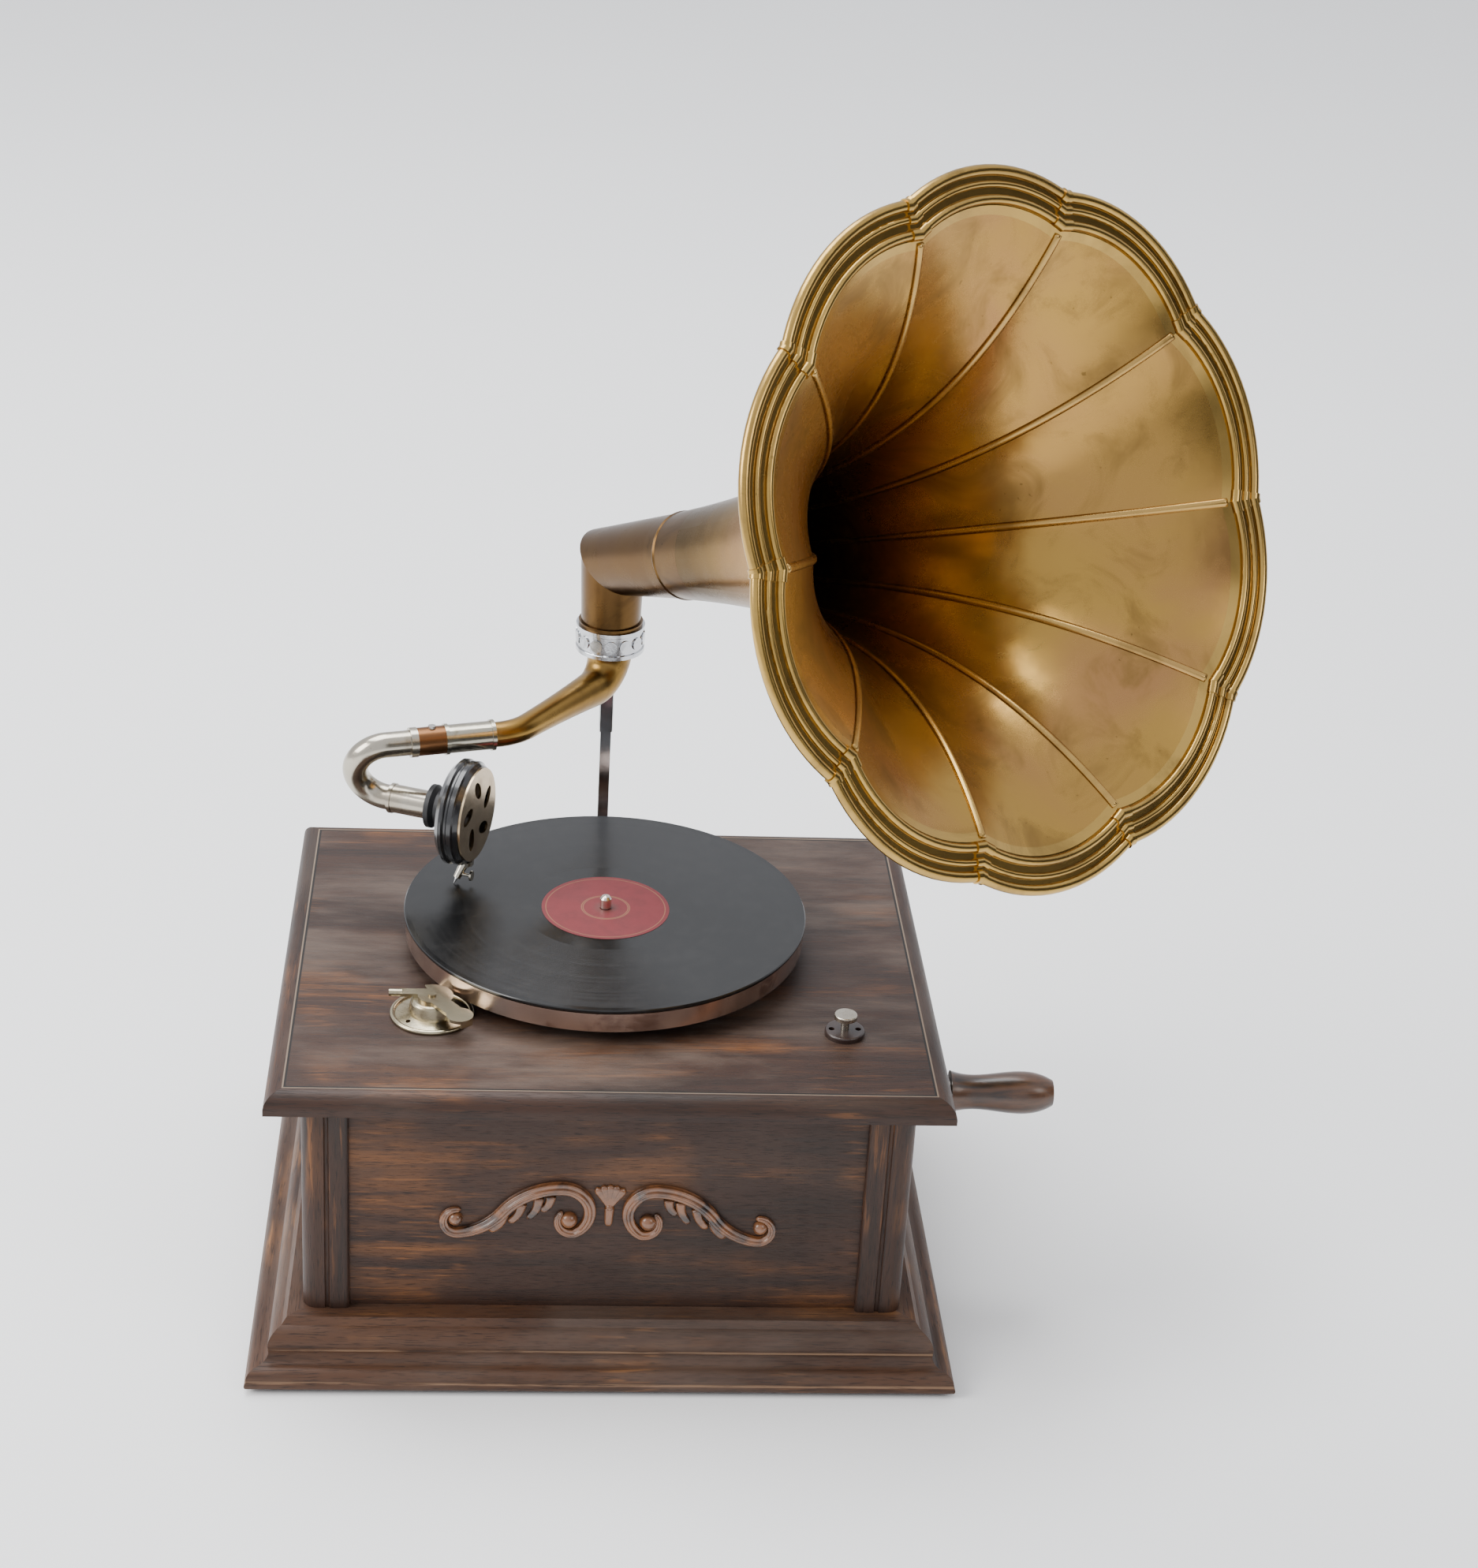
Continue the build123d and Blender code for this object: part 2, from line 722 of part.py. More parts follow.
def crank():
    """Escutcheon, winding shaft, crank arm and turned handle."""
    arm_start = lid_width / 2 + crank_side_gap
    arm_end = arm_start + crank_arm_thickness
    shaft_start = spindle_x + motor_case_length / 2 - barrel_width - 3 * ratchet_thickness
    centre = Vector(0, shaft_y, shaft_height)
    escutcheon = rod(
        centre + Vector(panel_face_x, 0, 0),
        centre + Vector(panel_face_x + escutcheon_thickness, 0, 0),
        escutcheon_radius,
    )
    escutcheon += rod(
        centre + Vector(panel_face_x - panel_thickness, 0, 0),
        centre + Vector(panel_face_x + 2 * escutcheon_thickness, 0, 0),
        escutcheon_sleeve_radius,
    )
    escutcheon -= rod(
        centre + Vector(panel_face_x - 2 * panel_thickness, 0, 0),
        centre + Vector(panel_face_x + 3 * escutcheon_thickness, 0, 0),
        shaft_radius + running_clearance,
    )
    shaft = rod(centre + Vector(shaft_start, 0, 0), centre + Vector(arm_end, 0, 0), shaft_radius)
    turn = math.radians(crank_rest_angle)
    pin = Vector(0, shaft_y - crank_throw * math.cos(turn), shaft_height + crank_throw * math.sin(turn))
    outline = SlotCenterToCenter(crank_throw, crank_arm_width)
    face = Plane(
        origin=(arm_start, (shaft_y + pin.Y) / 2, (shaft_height + pin.Z) / 2),
        x_dir=(0, pin.Y - shaft_y, pin.Z - shaft_height),
        z_dir=(1, 0, 0),
    )
    arm = extrude(face * outline, crank_arm_thickness)
    arm -= rod(
        centre + Vector(arm_start - 1, 0, 0), centre + Vector(arm_end + 1, 0, 0), shaft_radius + press_gap
    )
    handle_start = arm_end + handle_gap
    arm += rod(pin + Vector(arm_end - 1, 0, 0), pin + Vector(handle_start + crank_pin_length, 0, 0), crank_pin_radius)
    bore = crank_pin_radius + running_clearance
    bore_end = crank_pin_length + 1
    outline = (
        Line((bore, 0), (handle_collar_radius, 0))
        + Spline(
            (handle_collar_radius, 0),
            (handle_neck_radius, handle_neck_at),
            (handle_belly_radius, handle_belly_at),
            (handle_end_radius, handle_length),
        )
        + Line((handle_end_radius, handle_length), (0, handle_length))
        + Line((0, handle_length), (0, bore_end))
        + Line((0, bore_end), (bore, bore_end))
        + Line((bore, bore_end), (bore, 0))
    )
    handle = revolve(Plane.XZ * make_face(outline), Axis.Z)
    place = Plane(origin=(handle_start, pin.Y, pin.Z), x_dir=(0, 1, 0), z_dir=(1, 0, 0))
    return escutcheon, shaft, arm, place.location * handle


def brake():
    """Brake boss on the board and the lever that turns on it."""
    flange_top = board_top + brake_flange_thickness
    boss_top = flange_top + brake_boss_height
    sheet_top = board_top + brake_flange_sheet
    rim_middle = (brake_flange_radius + brake_flange_inner_radius) / 2
    outline = (
        Line((0, board_top), (brake_flange_radius, board_top))
        + ThreePointArc(
            (brake_flange_radius, board_top), (rim_middle, flange_top), (brake_flange_inner_radius, sheet_top)
        )
        + Line((brake_flange_inner_radius, sheet_top), (brake_boss_radius, flange_top))
        + Line((brake_boss_radius, flange_top), (brake_boss_top_radius, boss_top))
        + Line((brake_boss_top_radius, boss_top), (0, boss_top))
        + Line((0, boss_top), (0, board_top))
    )
    base = revolve(Plane.XZ * make_face(outline), Axis.Z)
    base = fillet(base.edges().group_by(Axis.Z)[-1], brake_boss_round)
    base += column(0, 0, boss_top - 1, boss_top + brake_pin_height, brake_pin_radius)
    turn = math.radians(brake_hole_angle)
    hole = Vector(brake_hole_reach * math.cos(turn), brake_hole_reach * math.sin(turn), 0)
    base -= column(hole.X, hole.Y, board_top - 1, flange_top + 1, brake_hole_radius)
    paddle_reach = math.hypot(brake_paddle_x, brake_paddle_y)
    paddle_turn = math.degrees(math.atan2(brake_paddle_y, brake_paddle_x))
    sketch = Circle(brake_hub_radius)
    sketch += Pos(-brake_strap_reach / 2, brake_hub_radius / 2) * Rectangle(brake_strap_reach, brake_strap_width)
    sketch += Pos(brake_paddle_x, brake_paddle_y) * Circle(brake_paddle_radius)
    sketch += Rot(0, 0, paddle_turn) * Pos(paddle_reach / 2, 0) * Rectangle(paddle_reach, brake_neck_width)
    crescent = Rot(0, 0, brake_crescent_start) * CenterArc(
        (0, 0), brake_crescent_radius - brake_crescent_width / 2, 0, brake_crescent_turn
    )
    sketch += trace(crescent, brake_crescent_width)
    sketch -= Circle(brake_pin_radius + running_clearance)
    lever = extrude(sketch, brake_lever_thickness)
    middle = brake_lever_thickness / 2
    grip = Vector(-brake_strap_reach, brake_hub_radius / 2, middle)
    lever += rod(grip - Vector(brake_grip_length * 0.8, 0, 0), grip + Vector(1, 0, 0), brake_grip_radius)
    shoe_place = Pos(brake_paddle_x, brake_paddle_y) * Rot(0, 0, paddle_turn + 90)
    shoe = Pos(0, -brake_paddle_radius + brake_shoe_thickness, brake_lever_thickness - brake_shoe_height / 2)
    lever += shoe_place * shoe * Box(brake_paddle_radius, brake_shoe_thickness, brake_shoe_height)
    return Pos(brake_x, brake_y, 0) * base, Pos(brake_x, brake_y, boss_top) * lever


def speed_control():
    """Round base with two holes, and the knob on its stem."""
    base_top = board_top + speed_base_height
    base = column(speed_x, speed_y, board_top, base_top, speed_base_radius)
    base = fillet(base.edges().group_by(Axis.Z)[-1], 1.2)
    for side in (-1, 1):
        base -= column(speed_x + side * speed_hole_reach, speed_y, board_top - 1, base_top + 1, speed_hole_radius)
    base -= column(speed_x, speed_y, board_top - 1, base_top + 1, speed_stem_radius + running_clearance)
    stem_top = board_top + speed_stem_height
    knob = column(speed_x, speed_y, board_top, stem_top, speed_stem_radius)
    disc = column(speed_x, speed_y, stem_top, stem_top + speed_disc_height, speed_disc_radius)
    knob += fillet(disc.edges().group_by(Axis.Z)[-1], 0.8)
    return base, knob


def bracket():
    """Cast arm from the back panel with the ring at its top, and its screws."""
    foot_y = panel_face_y
    foot_half = bracket_foot_height / 2
    foot = block(
        -bracket_foot_width / 2,
        bracket_foot_width / 2,
        foot_y,
        foot_y + bracket_foot_thickness,
        bracket_foot_centre_height - foot_half,
        bracket_foot_centre_height + foot_half,
    )
    foot = fillet(foot.edges().filter_by(Axis.Y), 8)
    block_bottom = ring_base_height - bracket_block_drop
    start = Vector(0, foot_y + 1, bracket_foot_centre_height - 10)
    route = FilletPolyline(
        start,
        Vector(0, bracket_stand_y, bracket_turn_height),
        Vector(0, bracket_stand_y, block_bottom + 1),
        radius=bracket_bend_radius,
    )
    section = Plane(origin=route @ 0, x_dir=(1, 0, 0), z_dir=route % 0)
    arm = sweep(section * Rectangle(bracket_thickness, bracket_depth), route)
    arm &= block(-100, 100, foot_y + 1, 400, 0, 600)
    head = block(
        -bracket_block_width / 2,
        bracket_block_width / 2,
        bracket_stand_y - bracket_depth / 2 - 1,
        bracket_stand_y + bracket_depth / 2,
        block_bottom,
        ring_top - ring_rim_height,
    )
    head = fillet(head.edges().filter_by(Axis.Z), 1.2)
    band = turned(
        [
            (0, 0),
            (ring_radius, 0),
            (ring_radius, ring_rim_height),
            (ring_band_radius, ring_rim_height + 0.6),
            (ring_band_radius, ring_height - ring_rim_height - 0.6),
            (ring_radius, ring_height - ring_rim_height),
            (ring_radius, ring_height),
            (0, ring_height),
        ]
    )
    for i in range(ring_egg_count):
        egg = Pos(ring_band_radius - 1, 0, ring_height / 2) * Rot(0, 90, 0) * Cylinder(
            ring_egg_radius, 2 * (ring_egg_rise + 1)
        )
        band += Rot(0, 0, 360 * (i + 0.5) / ring_egg_count) * egg
    casting = foot + arm + head + Pos(0, ring_y, ring_base_height) * band
    seat_top = ring_base_height + ring_seat_height
    casting -= column(0, ring_y, ring_base_height - 1, seat_top + 1, neck_radius + running_clearance)
    casting -= column(0, ring_y, seat_top, ring_top + 1, ring_bore)
    screws = []
    for sx in (-1, 1):
        for sz in (-1, 1):
            spot = Vector(sx * bracket_screw_reach, foot_y, bracket_foot_centre_height + sz * bracket_screw_rise)
            out = Vector(0, bracket_foot_thickness, 0)
            casting -= rod(spot - Vector(0, 1, 0), spot + out * 2, bracket_screw_radius + press_gap)
            tail = Vector(0, bracket_screw_length - bracket_foot_thickness, 0)
            shank = rod(spot, spot + out, bracket_screw_radius)
            head_end = spot + out + Vector(0, bracket_screw_head_height, 0)
            screws.append(shank + rod(spot + out, head_end, bracket_screw_head_radius))
    return casting, screws


def horn_axis():
    """Unit vector along the horn axis, from the elbow to the mouth."""
    yaw = math.radians(horn_yaw)
    pitch = math.radians(horn_pitch)
    return Vector(
        math.sin(yaw) * math.cos(pitch), -math.cos(yaw) * math.cos(pitch), math.sin(pitch)
    )


def horn_plane():
    """Frame at the elbow centre, Z along the horn axis, X upwards across it."""
    axis = horn_axis()
    up = Vector(0, 0, 1)
    across = up - axis * up.dot(axis)
    return Plane(origin=elbow_centre, x_dir=across, z_dir=axis)


def horn_radius(station):
    """Outer radius at a seam, at a distance along the axis."""
    growth = math.exp(station / horn_flare_length) - 1
    return horn_throat_radius + horn_taper * station + horn_flare * growth


def horn_slope(station):
    """Rate at which the radius grows along the axis."""
    return horn_taper + horn_flare / horn_flare_length * math.exp(station / horn_flare_length)


def petal_start():
    """Distance along the axis at which the petals begin."""
    return elbow_sleeve_length + throat_length


def petal_end():
    """Distance along the axis at which the petals meet the rim."""
    return horn_length - rim_skirt


def lobe_centre(station):
    """Distance from the axis to the centre of one petal's arc."""
    share = (station - petal_start()) / (petal_end() - petal_start())
    return lobe_reach * share**lobe_growth


def seam_reach(lobe, lobe_radius):
    """Distance from the axis at which an arc crosses the seam plane."""
    half = math.pi / petal_count
    across = lobe * math.sin(half)
    return lobe * math.cos(half) + math.sqrt(lobe_radius**2 - across**2)


def lobe_arc_radius(station):
    """Outer radius of one petal's arc about its own centre."""
    half = math.pi / petal_count
    reach = horn_radius(station)
    lobe = lobe_centre(station)
    return math.sqrt(reach**2 + lobe**2 - 2 * reach * lobe * math.cos(half))


def petal_section(station):
    """Cross section of one petal between its seams, across the axis."""
    half = math.pi / petal_count
    lobe = lobe_centre(station)
    outer_radius = lobe_arc_radius(station)
    inner_radius = outer_radius - horn_wall * math.sqrt(1 + horn_slope(station) ** 2)
    outer = seam_reach(lobe, outer_radius)
    inner = seam_reach(lobe, inner_radius)
    c = math.cos(half)
    s = math.sin(half)
    outline = (
        ThreePointArc((outer * c, -outer * s), (lobe + outer_radius, 0), (outer * c, outer * s))
        + Line((outer * c, outer * s), (inner * c, inner * s))
        + ThreePointArc((inner * c, inner * s), (lobe + inner_radius, 0), (inner * c, -inner * s))
        + Line((inner * c, -inner * s), (outer * c, -outer * s))
    )
    return Pos(0, 0, station) * make_face(outline)


def stations():
    """Distances along the axis of the petal sections."""
    first = petal_start()
    step = (petal_end() - first) / (petal_stations - 1)
    return [first + i * step for i in range(petal_stations)]


def rim_inner():
    """Inner radius of the rim about a petal's own centre."""
    rise = horn_slope(petal_end()) * rim_skirt
    return lobe_arc_radius(petal_end()) + rise - rim_overlap


def rim_beads(grow=0.0):
    """Section of the rim: flat sheet, inner bead, ridge and rolled hem."""
    inner = rim_inner()
    hem = inner + rim_band_width - rim_hem_radius
    ridge = inner + rim_band_width / 2
    lift = rim_sheet / 2
    width = hem - inner - rim_bead_radius
    sheet = Pos((inner + rim_bead_radius + hem) / 2, horn_length) * Rectangle(width, rim_sheet + 2 * grow)
    bead = Pos(inner + rim_bead_radius, horn_length + lift) * Circle(rim_bead_radius + grow)
    crest = Pos(ridge, horn_length + lift) * Circle(rim_ridge_radius + grow)
    roll = Pos(hem, horn_length) * Circle(rim_hem_radius + grow)
    return sheet + bead + crest + roll


def rim_outline():
    """Section of the rim with the skirt that carries on the petal's slope."""
    foot = lobe_arc_radius(petal_end())
    slope = horn_slope(petal_end())
    thickness = horn_wall * math.sqrt(1 + slope**2)
    rise = slope * rim_skirt
    corners = [
        (foot, petal_end()),
        (foot + rise, horn_length),
        (foot + rise - thickness, horn_length),
        (foot - thickness, petal_end()),
    ]
    return rim_beads() + make_face(Polyline(*corners, close=True))


def lobe_sweep(outline, turn_start, turn):
    """Turns a rim section about one petal's own centre at the mouth."""
    lobe = lobe_centre(petal_end())
    ring = revolve(Plane.XZ * outline, Axis.Z, revolution_arc=turn)
    return Pos(lobe, 0, 0) * Rot(0, 0, turn_start) * ring


def seam_wedge():
    """Space between two neighbouring seam planes."""
    half = math.pi / petal_count
    far = 2 * horn_length
    corners = [(0, 0), (far * math.cos(half), -far * math.sin(half)), (far * math.cos(half), far * math.sin(half))]
    return Pos(0, 0, -far / 2) * extrude(make_face(Polyline(*corners, close=True)), 2 * far)


def horn():
    """Petals, rims, seam strips and rim clips, in the horn frame."""
    places = [Rot(0, 0, seam_phase + 360 * (i + 0.5) / petal_count) for i in range(petal_count)]
    sheet = loft([petal_section(station) for station in stations()])
    wedge = seam_wedge()
    rim = lobe_sweep(rim_outline(), -45, 90) & wedge
    half = math.pi / petal_count
    middle = rim_inner() + rim_band_width / 2
    crossing = seam_reach(lobe_centre(petal_end()), middle)
    seam_turn = math.degrees(math.asin(crossing * math.sin(half) / middle))
    clip_turn = math.degrees(clip_width / middle)
    back = petal_end() + surface_gap
    room = Pos(middle, back + rim_band_width) * Rectangle(2 * rim_band_width, 2 * rim_band_width)
    shell = (rim_beads(clip_thickness) - rim_outline()) & room
    right = lobe_sweep(shell, seam_turn - clip_turn, clip_turn + 8) & wedge
    left = mirror(right, Plane.XZ)
    strip = seam_strip()
    petals = [place * sheet for place in places]
    rims = [place * rim for place in places]
    clips = []
    strips = []
    for place, following in zip(places, places[1:] + places[:1]):
        clips.append(place * right + following * left)
        strips.append(place * Rot(0, 0, math.degrees(half)) * strip)
    return petals, rims, clips, strips


def seam_strip():
    """Folded seam along the inside of the horn, in the seam plane at angle zero."""
    sections = []
    for station in stations()[:-1] + [petal_end() - 1]:
        lobe = lobe_centre(station)
        stretch = math.sqrt(1 + horn_slope(station) ** 2)
        inner = seam_reach(lobe, lobe_arc_radius(station) - horn_wall * stretch) - seam_gap * stretch
        height = seam_height * stretch
        sections.append(Pos(inner - height / 2, 0, station) * Rectangle(height, seam_width))
    return loft(sections)


def elbow_tube(shrink, overrun):
    """Mitred elbow from the ring to the throat, as a solid."""
    place = horn_plane()
    mitre = Plane(origin=elbow_centre, z_dir=horn_axis() + Vector(0, 0, 1))
    rise = elbow_height - ring_top
    growth = (elbow_top_radius - elbow_foot_radius) / rise
    reach = elbow_foot_radius * 2
    lower = Pos(0, ring_y, ring_top + (rise + reach) / 2) * Cone(
        elbow_foot_radius - shrink, elbow_foot_radius + growth * (rise + reach) - shrink, rise + reach
    )
    lower = split(lower, bisect_by=mitre, keep=Keep.BOTTOM)
    lower += column(0, ring_y, ring_top - elbow_spigot - overrun, ring_top, elbow_foot_radius - shrink)
    length = elbow_sleeve_length + reach + overrun
    slope = (horn_radius(elbow_sleeve_length) - horn_throat_radius) / elbow_sleeve_length
    middle = (elbow_sleeve_length + overrun - reach) / 2
    upper = place.location * Pos(0, 0, middle) * Cone(
        horn_throat_radius - slope * reach - shrink,
        horn_throat_radius + slope * (elbow_sleeve_length + overrun) - shrink,
        length,
    )
    upper = split(upper, bisect_by=mitre, keep=Keep.TOP)
    return lower + upper


def horn_elbow():
    """Hollow elbow with the bead that sits on the ring."""
    elbow = elbow_tube(0, 0)
    elbow += column(0, ring_y, ring_top, ring_top + elbow_bead_height, elbow_bead_radius)
    return elbow - elbow_tube(horn_wall, 2)


def horn_throat():
    """Cone between the elbow and the petals, with a spigot and a bead."""
    start = elbow_sleeve_length
    end = petal_start()
    slip = horn_wall + running_clearance
    spigot_start = start - throat_spigot
    elbow_slope = (horn_radius(start) - horn_throat_radius) / start
    spigot_radius = horn_throat_radius + elbow_slope * spigot_start - slip
    bead = start + throat_bead_at
    points = [
        (spigot_radius - horn_wall, spigot_start),
        (spigot_radius, spigot_start),
        (horn_radius(start) - slip, start),
        (horn_radius(start), start),
        (horn_radius(bead), bead),
        (horn_radius(bead) + throat_bead_rise, bead + throat_bead_width / 2),
        (horn_radius(bead + throat_bead_width), bead + throat_bead_width),
        (horn_radius(end), end),
        (horn_radius(end) - horn_wall, end),
        (horn_radius(start) - slip - horn_wall, start),
    ]
    return horn_plane().location * turned(points)


def arm_route():
    """Corners of the tone arm's centre line, from the ring to the head."""
    head = math.radians(arm_head_angle)
    forward = Vector(-math.cos(head), -math.sin(head), 0)
    corner = Vector(arm_bend_x, arm_bend_y, arm_height)
    turn = arm_heading().get_angle(forward)
    tangent = arm_head_bend_radius * math.tan(math.radians(turn / 2))
    return corner, forward, tangent


def arm_heading():
    """Level direction of the arm as it leaves the neck."""
    return Vector(arm_bend_x, arm_bend_y - ring_y, 0).normalized()


def arm_loft(shrink):
    """Tapered solid along the arm's centre line."""
    corner, forward, tangent = arm_route()
    top = Vector(0, ring_y, ring_base_height + ring_seat_height + neck_flange_height)
    route = FilletPolyline(
        top,
        Vector(0, ring_y, arm_height),
        corner,
        corner + forward * (tangent + 6),
        radius=[arm_neck_bend_radius, arm_head_bend_radius],
    )
    side = Vector(0, 0, 1).cross(arm_heading())
    sections = []
    for i in range(arm_sections):
        share = i / (arm_sections - 1)
        tangent_here = route % share
        level = Vector(tangent_here.X, tangent_here.Y, 0)
        if level.length > 0.05:
            side = Vector(0, 0, 1).cross(level.normalized())
        radius = arm_end_radius + (neck_radius - arm_end_radius) * (1 - share) ** arm_taper_power
        section = Plane(origin=route @ share, x_dir=side, z_dir=tangent_here)
        sections.append(section * Circle(radius - shrink))
    return loft(sections), route @ 1, forward


def tone_arm():
    """Brass arm, nickel sleeve, copper collar and the collar's screw."""
    tube, tube_end, forward = arm_loft(0)
    sleeve_start = tube_end - forward * 4
    sleeve_end = sleeve_start + forward * sleeve_length
    collar_end = sleeve_end + forward * collar_length
    inside = collar_end - forward * (collar_spigot + 1)
    seat = ring_base_height + ring_seat_height
    tube += rod(tube_end - forward * 1, inside, arm_end_radius)
    tube += column(0, ring_y, seat, seat + neck_flange_height, elbow_foot_radius)
    hollow, hollow_end, forward = arm_loft(arm_tube_wall)
    bore = arm_end_radius - arm_tube_wall
    hollow += rod(hollow_end - forward * 1, inside + forward * 1, bore)
    hollow += column(0, ring_y, seat + neck_flange_height - 1, ring_top, neck_radius - arm_tube_wall)
    tube -= hollow
    slip = arm_end_radius + press_gap
    sleeve = rod(sleeve_start, sleeve_end, sleeve_radius)
    bead = forward * sleeve_bead_width
    sleeve += rod(sleeve_start, sleeve_start + bead, sleeve_bead_radius)
    sleeve += rod(sleeve_end - bead, sleeve_end, sleeve_bead_radius)
    sleeve -= rod(sleeve_start - forward * 1, sleeve_end + forward * 1, slip)
    collar = rod(sleeve_end, collar_end, collar_radius)
    collar -= rod(sleeve_end - forward * 1, collar_end + forward * 1, arm_end_radius + running_clearance)
    screw_spot = sleeve_end + forward * collar_length * 0.45
    up = Vector(0, 0, 1)
    hole_start = screw_spot + up * (arm_end_radius - 1)
    head_start = screw_spot + up * collar_radius
    collar -= rod(hole_start, head_start + up, collar_screw_radius + press_gap)
    screw = rod(screw_spot + up * (arm_end_radius + running_clearance), head_start, collar_screw_radius)
    screw += rod(head_start, head_start + up * collar_screw_head_height, collar_screw_head_radius)
    return tube, sleeve, collar, screw, collar_end, forward


def soundbox_plane():
    """Frame at the middle of the face, Z towards the spindle, Y up."""
    turn = math.radians(soundbox_angle)
    facing = Vector(math.cos(turn), -math.sin(turn), 0)
    side = Vector(math.sin(turn), math.cos(turn), 0)
    return Plane(origin=(soundbox_x, soundbox_y, soundbox_height), x_dir=side, z_dir=facing)


def gooseneck(collar_end, forward):
    """Bent tube from the arm's collar round to the soundbox, with its end sleeve."""
    face = soundbox_plane()
    facing = face.z_dir
    back = soundbox_depth + flange_length
    joint = face.origin - facing * back
    sleeve_start = joint - facing * end_sleeve_length
    upper_run = (gooseneck_turn_x - collar_end.X) / forward.X
    upper = collar_end + forward * upper_run
    lower_run = (face.origin.X - gooseneck_turn_x) / facing.X
    lower = face.origin - facing * lower_run
    route_start = collar_end - forward * (collar_spigot - 1)
    route_end = joint - facing * 3
    route = FilletPolyline(route_start, upper, lower, route_end, radius=gooseneck_bend_radius)
    section = Plane(origin=route @ 0, z_dir=route % 0)
    tube = sweep(section * Circle(gooseneck_radius - 0.2), route)
    tube += rod(collar_end, collar_end + forward * gooseneck_bead_length, gooseneck_bead_radius)
    bore = sweep(section * Circle(gooseneck_radius - gooseneck_wall), route)
    tube -= bore
    grip_end = joint + facing * flange_grip
    sleeve = rod(sleeve_start, grip_end, end_sleeve_radius)
    sleeve += rod(sleeve_start, sleeve_start + facing * end_sleeve_bead_width, end_sleeve_bead_radius)
    sleeve -= rod(sleeve_start - facing, joint - facing * 3, gooseneck_radius - 0.2 + press_gap)
    sleeve -= rod(joint - facing * 4, grip_end + facing, gooseneck_radius - gooseneck_wall)
    return tube, sleeve


def rubber_flange():
    """Flexible back flange between the end sleeve and the soundbox."""
    back = -soundbox_depth
    start = back - flange_length
    bore = end_sleeve_radius + press_gap
    points = [
        (bore, start),
        (flange_radius, start),
        (flange_radius, start + 3.0),
        (flange_waist_radius, start + 5.5),
        (flange_waist_radius, start + 9.5),
        (flange_front_radius, back),
        (bore, back),
    ]
    return soundbox_plane().location * turned(points)


def soundbox():
    """Shell, diaphragm and openwork face plate."""
    back = -soundbox_depth
    outer = soundbox_radius
    groove = soundbox_groove
    front_cavity = diaphragm_radius + 0.5
    back_cavity = diaphragm_radius - 2
    inner_back = back + soundbox_back
    port = gooseneck_radius - gooseneck_wall
    shell = turned(
        [
            (port, back),
            (outer - 3, back),
            (outer, back + 3),
            (outer, back + 5),
            (outer - groove, back + 6.2),
            (outer - groove, back + 7.4),
            (outer - 0.4, back + 8.6),
            (outer - 0.4, -3.6),
            (outer - groove, -2.6),
            (face_radius + 0.6, 0),
            (front_cavity, 0),
            (front_cavity, -diaphragm_depth - diaphragm_thickness),
            (back_cavity, -diaphragm_depth - diaphragm_thickness),
            (back_cavity, inner_back),
            (port, inner_back),
        ]
    )
    slot_low = -soundbox_radius - 1
    slot = block(
        -stylus_arm_slot / 2,
        stylus_arm_slot / 2,
        slot_low,
        -back_cavity,
        -diaphragm_depth,
        -stylus_block_front + 1,
    )
    shell -= slot
    level = -diaphragm_depth - diaphragm_thickness / 2
    diaphragm = Pos(0, 0, level) * Cylinder(diaphragm_radius, diaphragm_thickness)
    face = Pos(0, 0, face_thickness / 2) * Cylinder(face_radius, face_thickness)
    for i in range(face_hole_count):
        hole = Pos(0, 0, -1) * extrude(Ellipse(face_hole_length / 2, face_hole_width / 2), face_thickness + 2)
        face -= Rot(0, 0, 90 + 360 * i / face_hole_count) * Pos(face_hole_at, 0, 0) * Rot(0, 0, 35) * hole
    place = soundbox_plane().location
    return place * shell, place * diaphragm, place * face


def needle_line():
    """Needle tip and upward direction, in the soundbox frame."""
    tip_height = record_top + needle_gap - soundbox_height
    tip = Vector(needle_tip_side, tip_height, -needle_tip_back)
    side = math.tan(math.radians(needle_lean_side))
    back = math.tan(math.radians(needle_lean_back))
    return tip, Vector(side, 1, back).normalized()


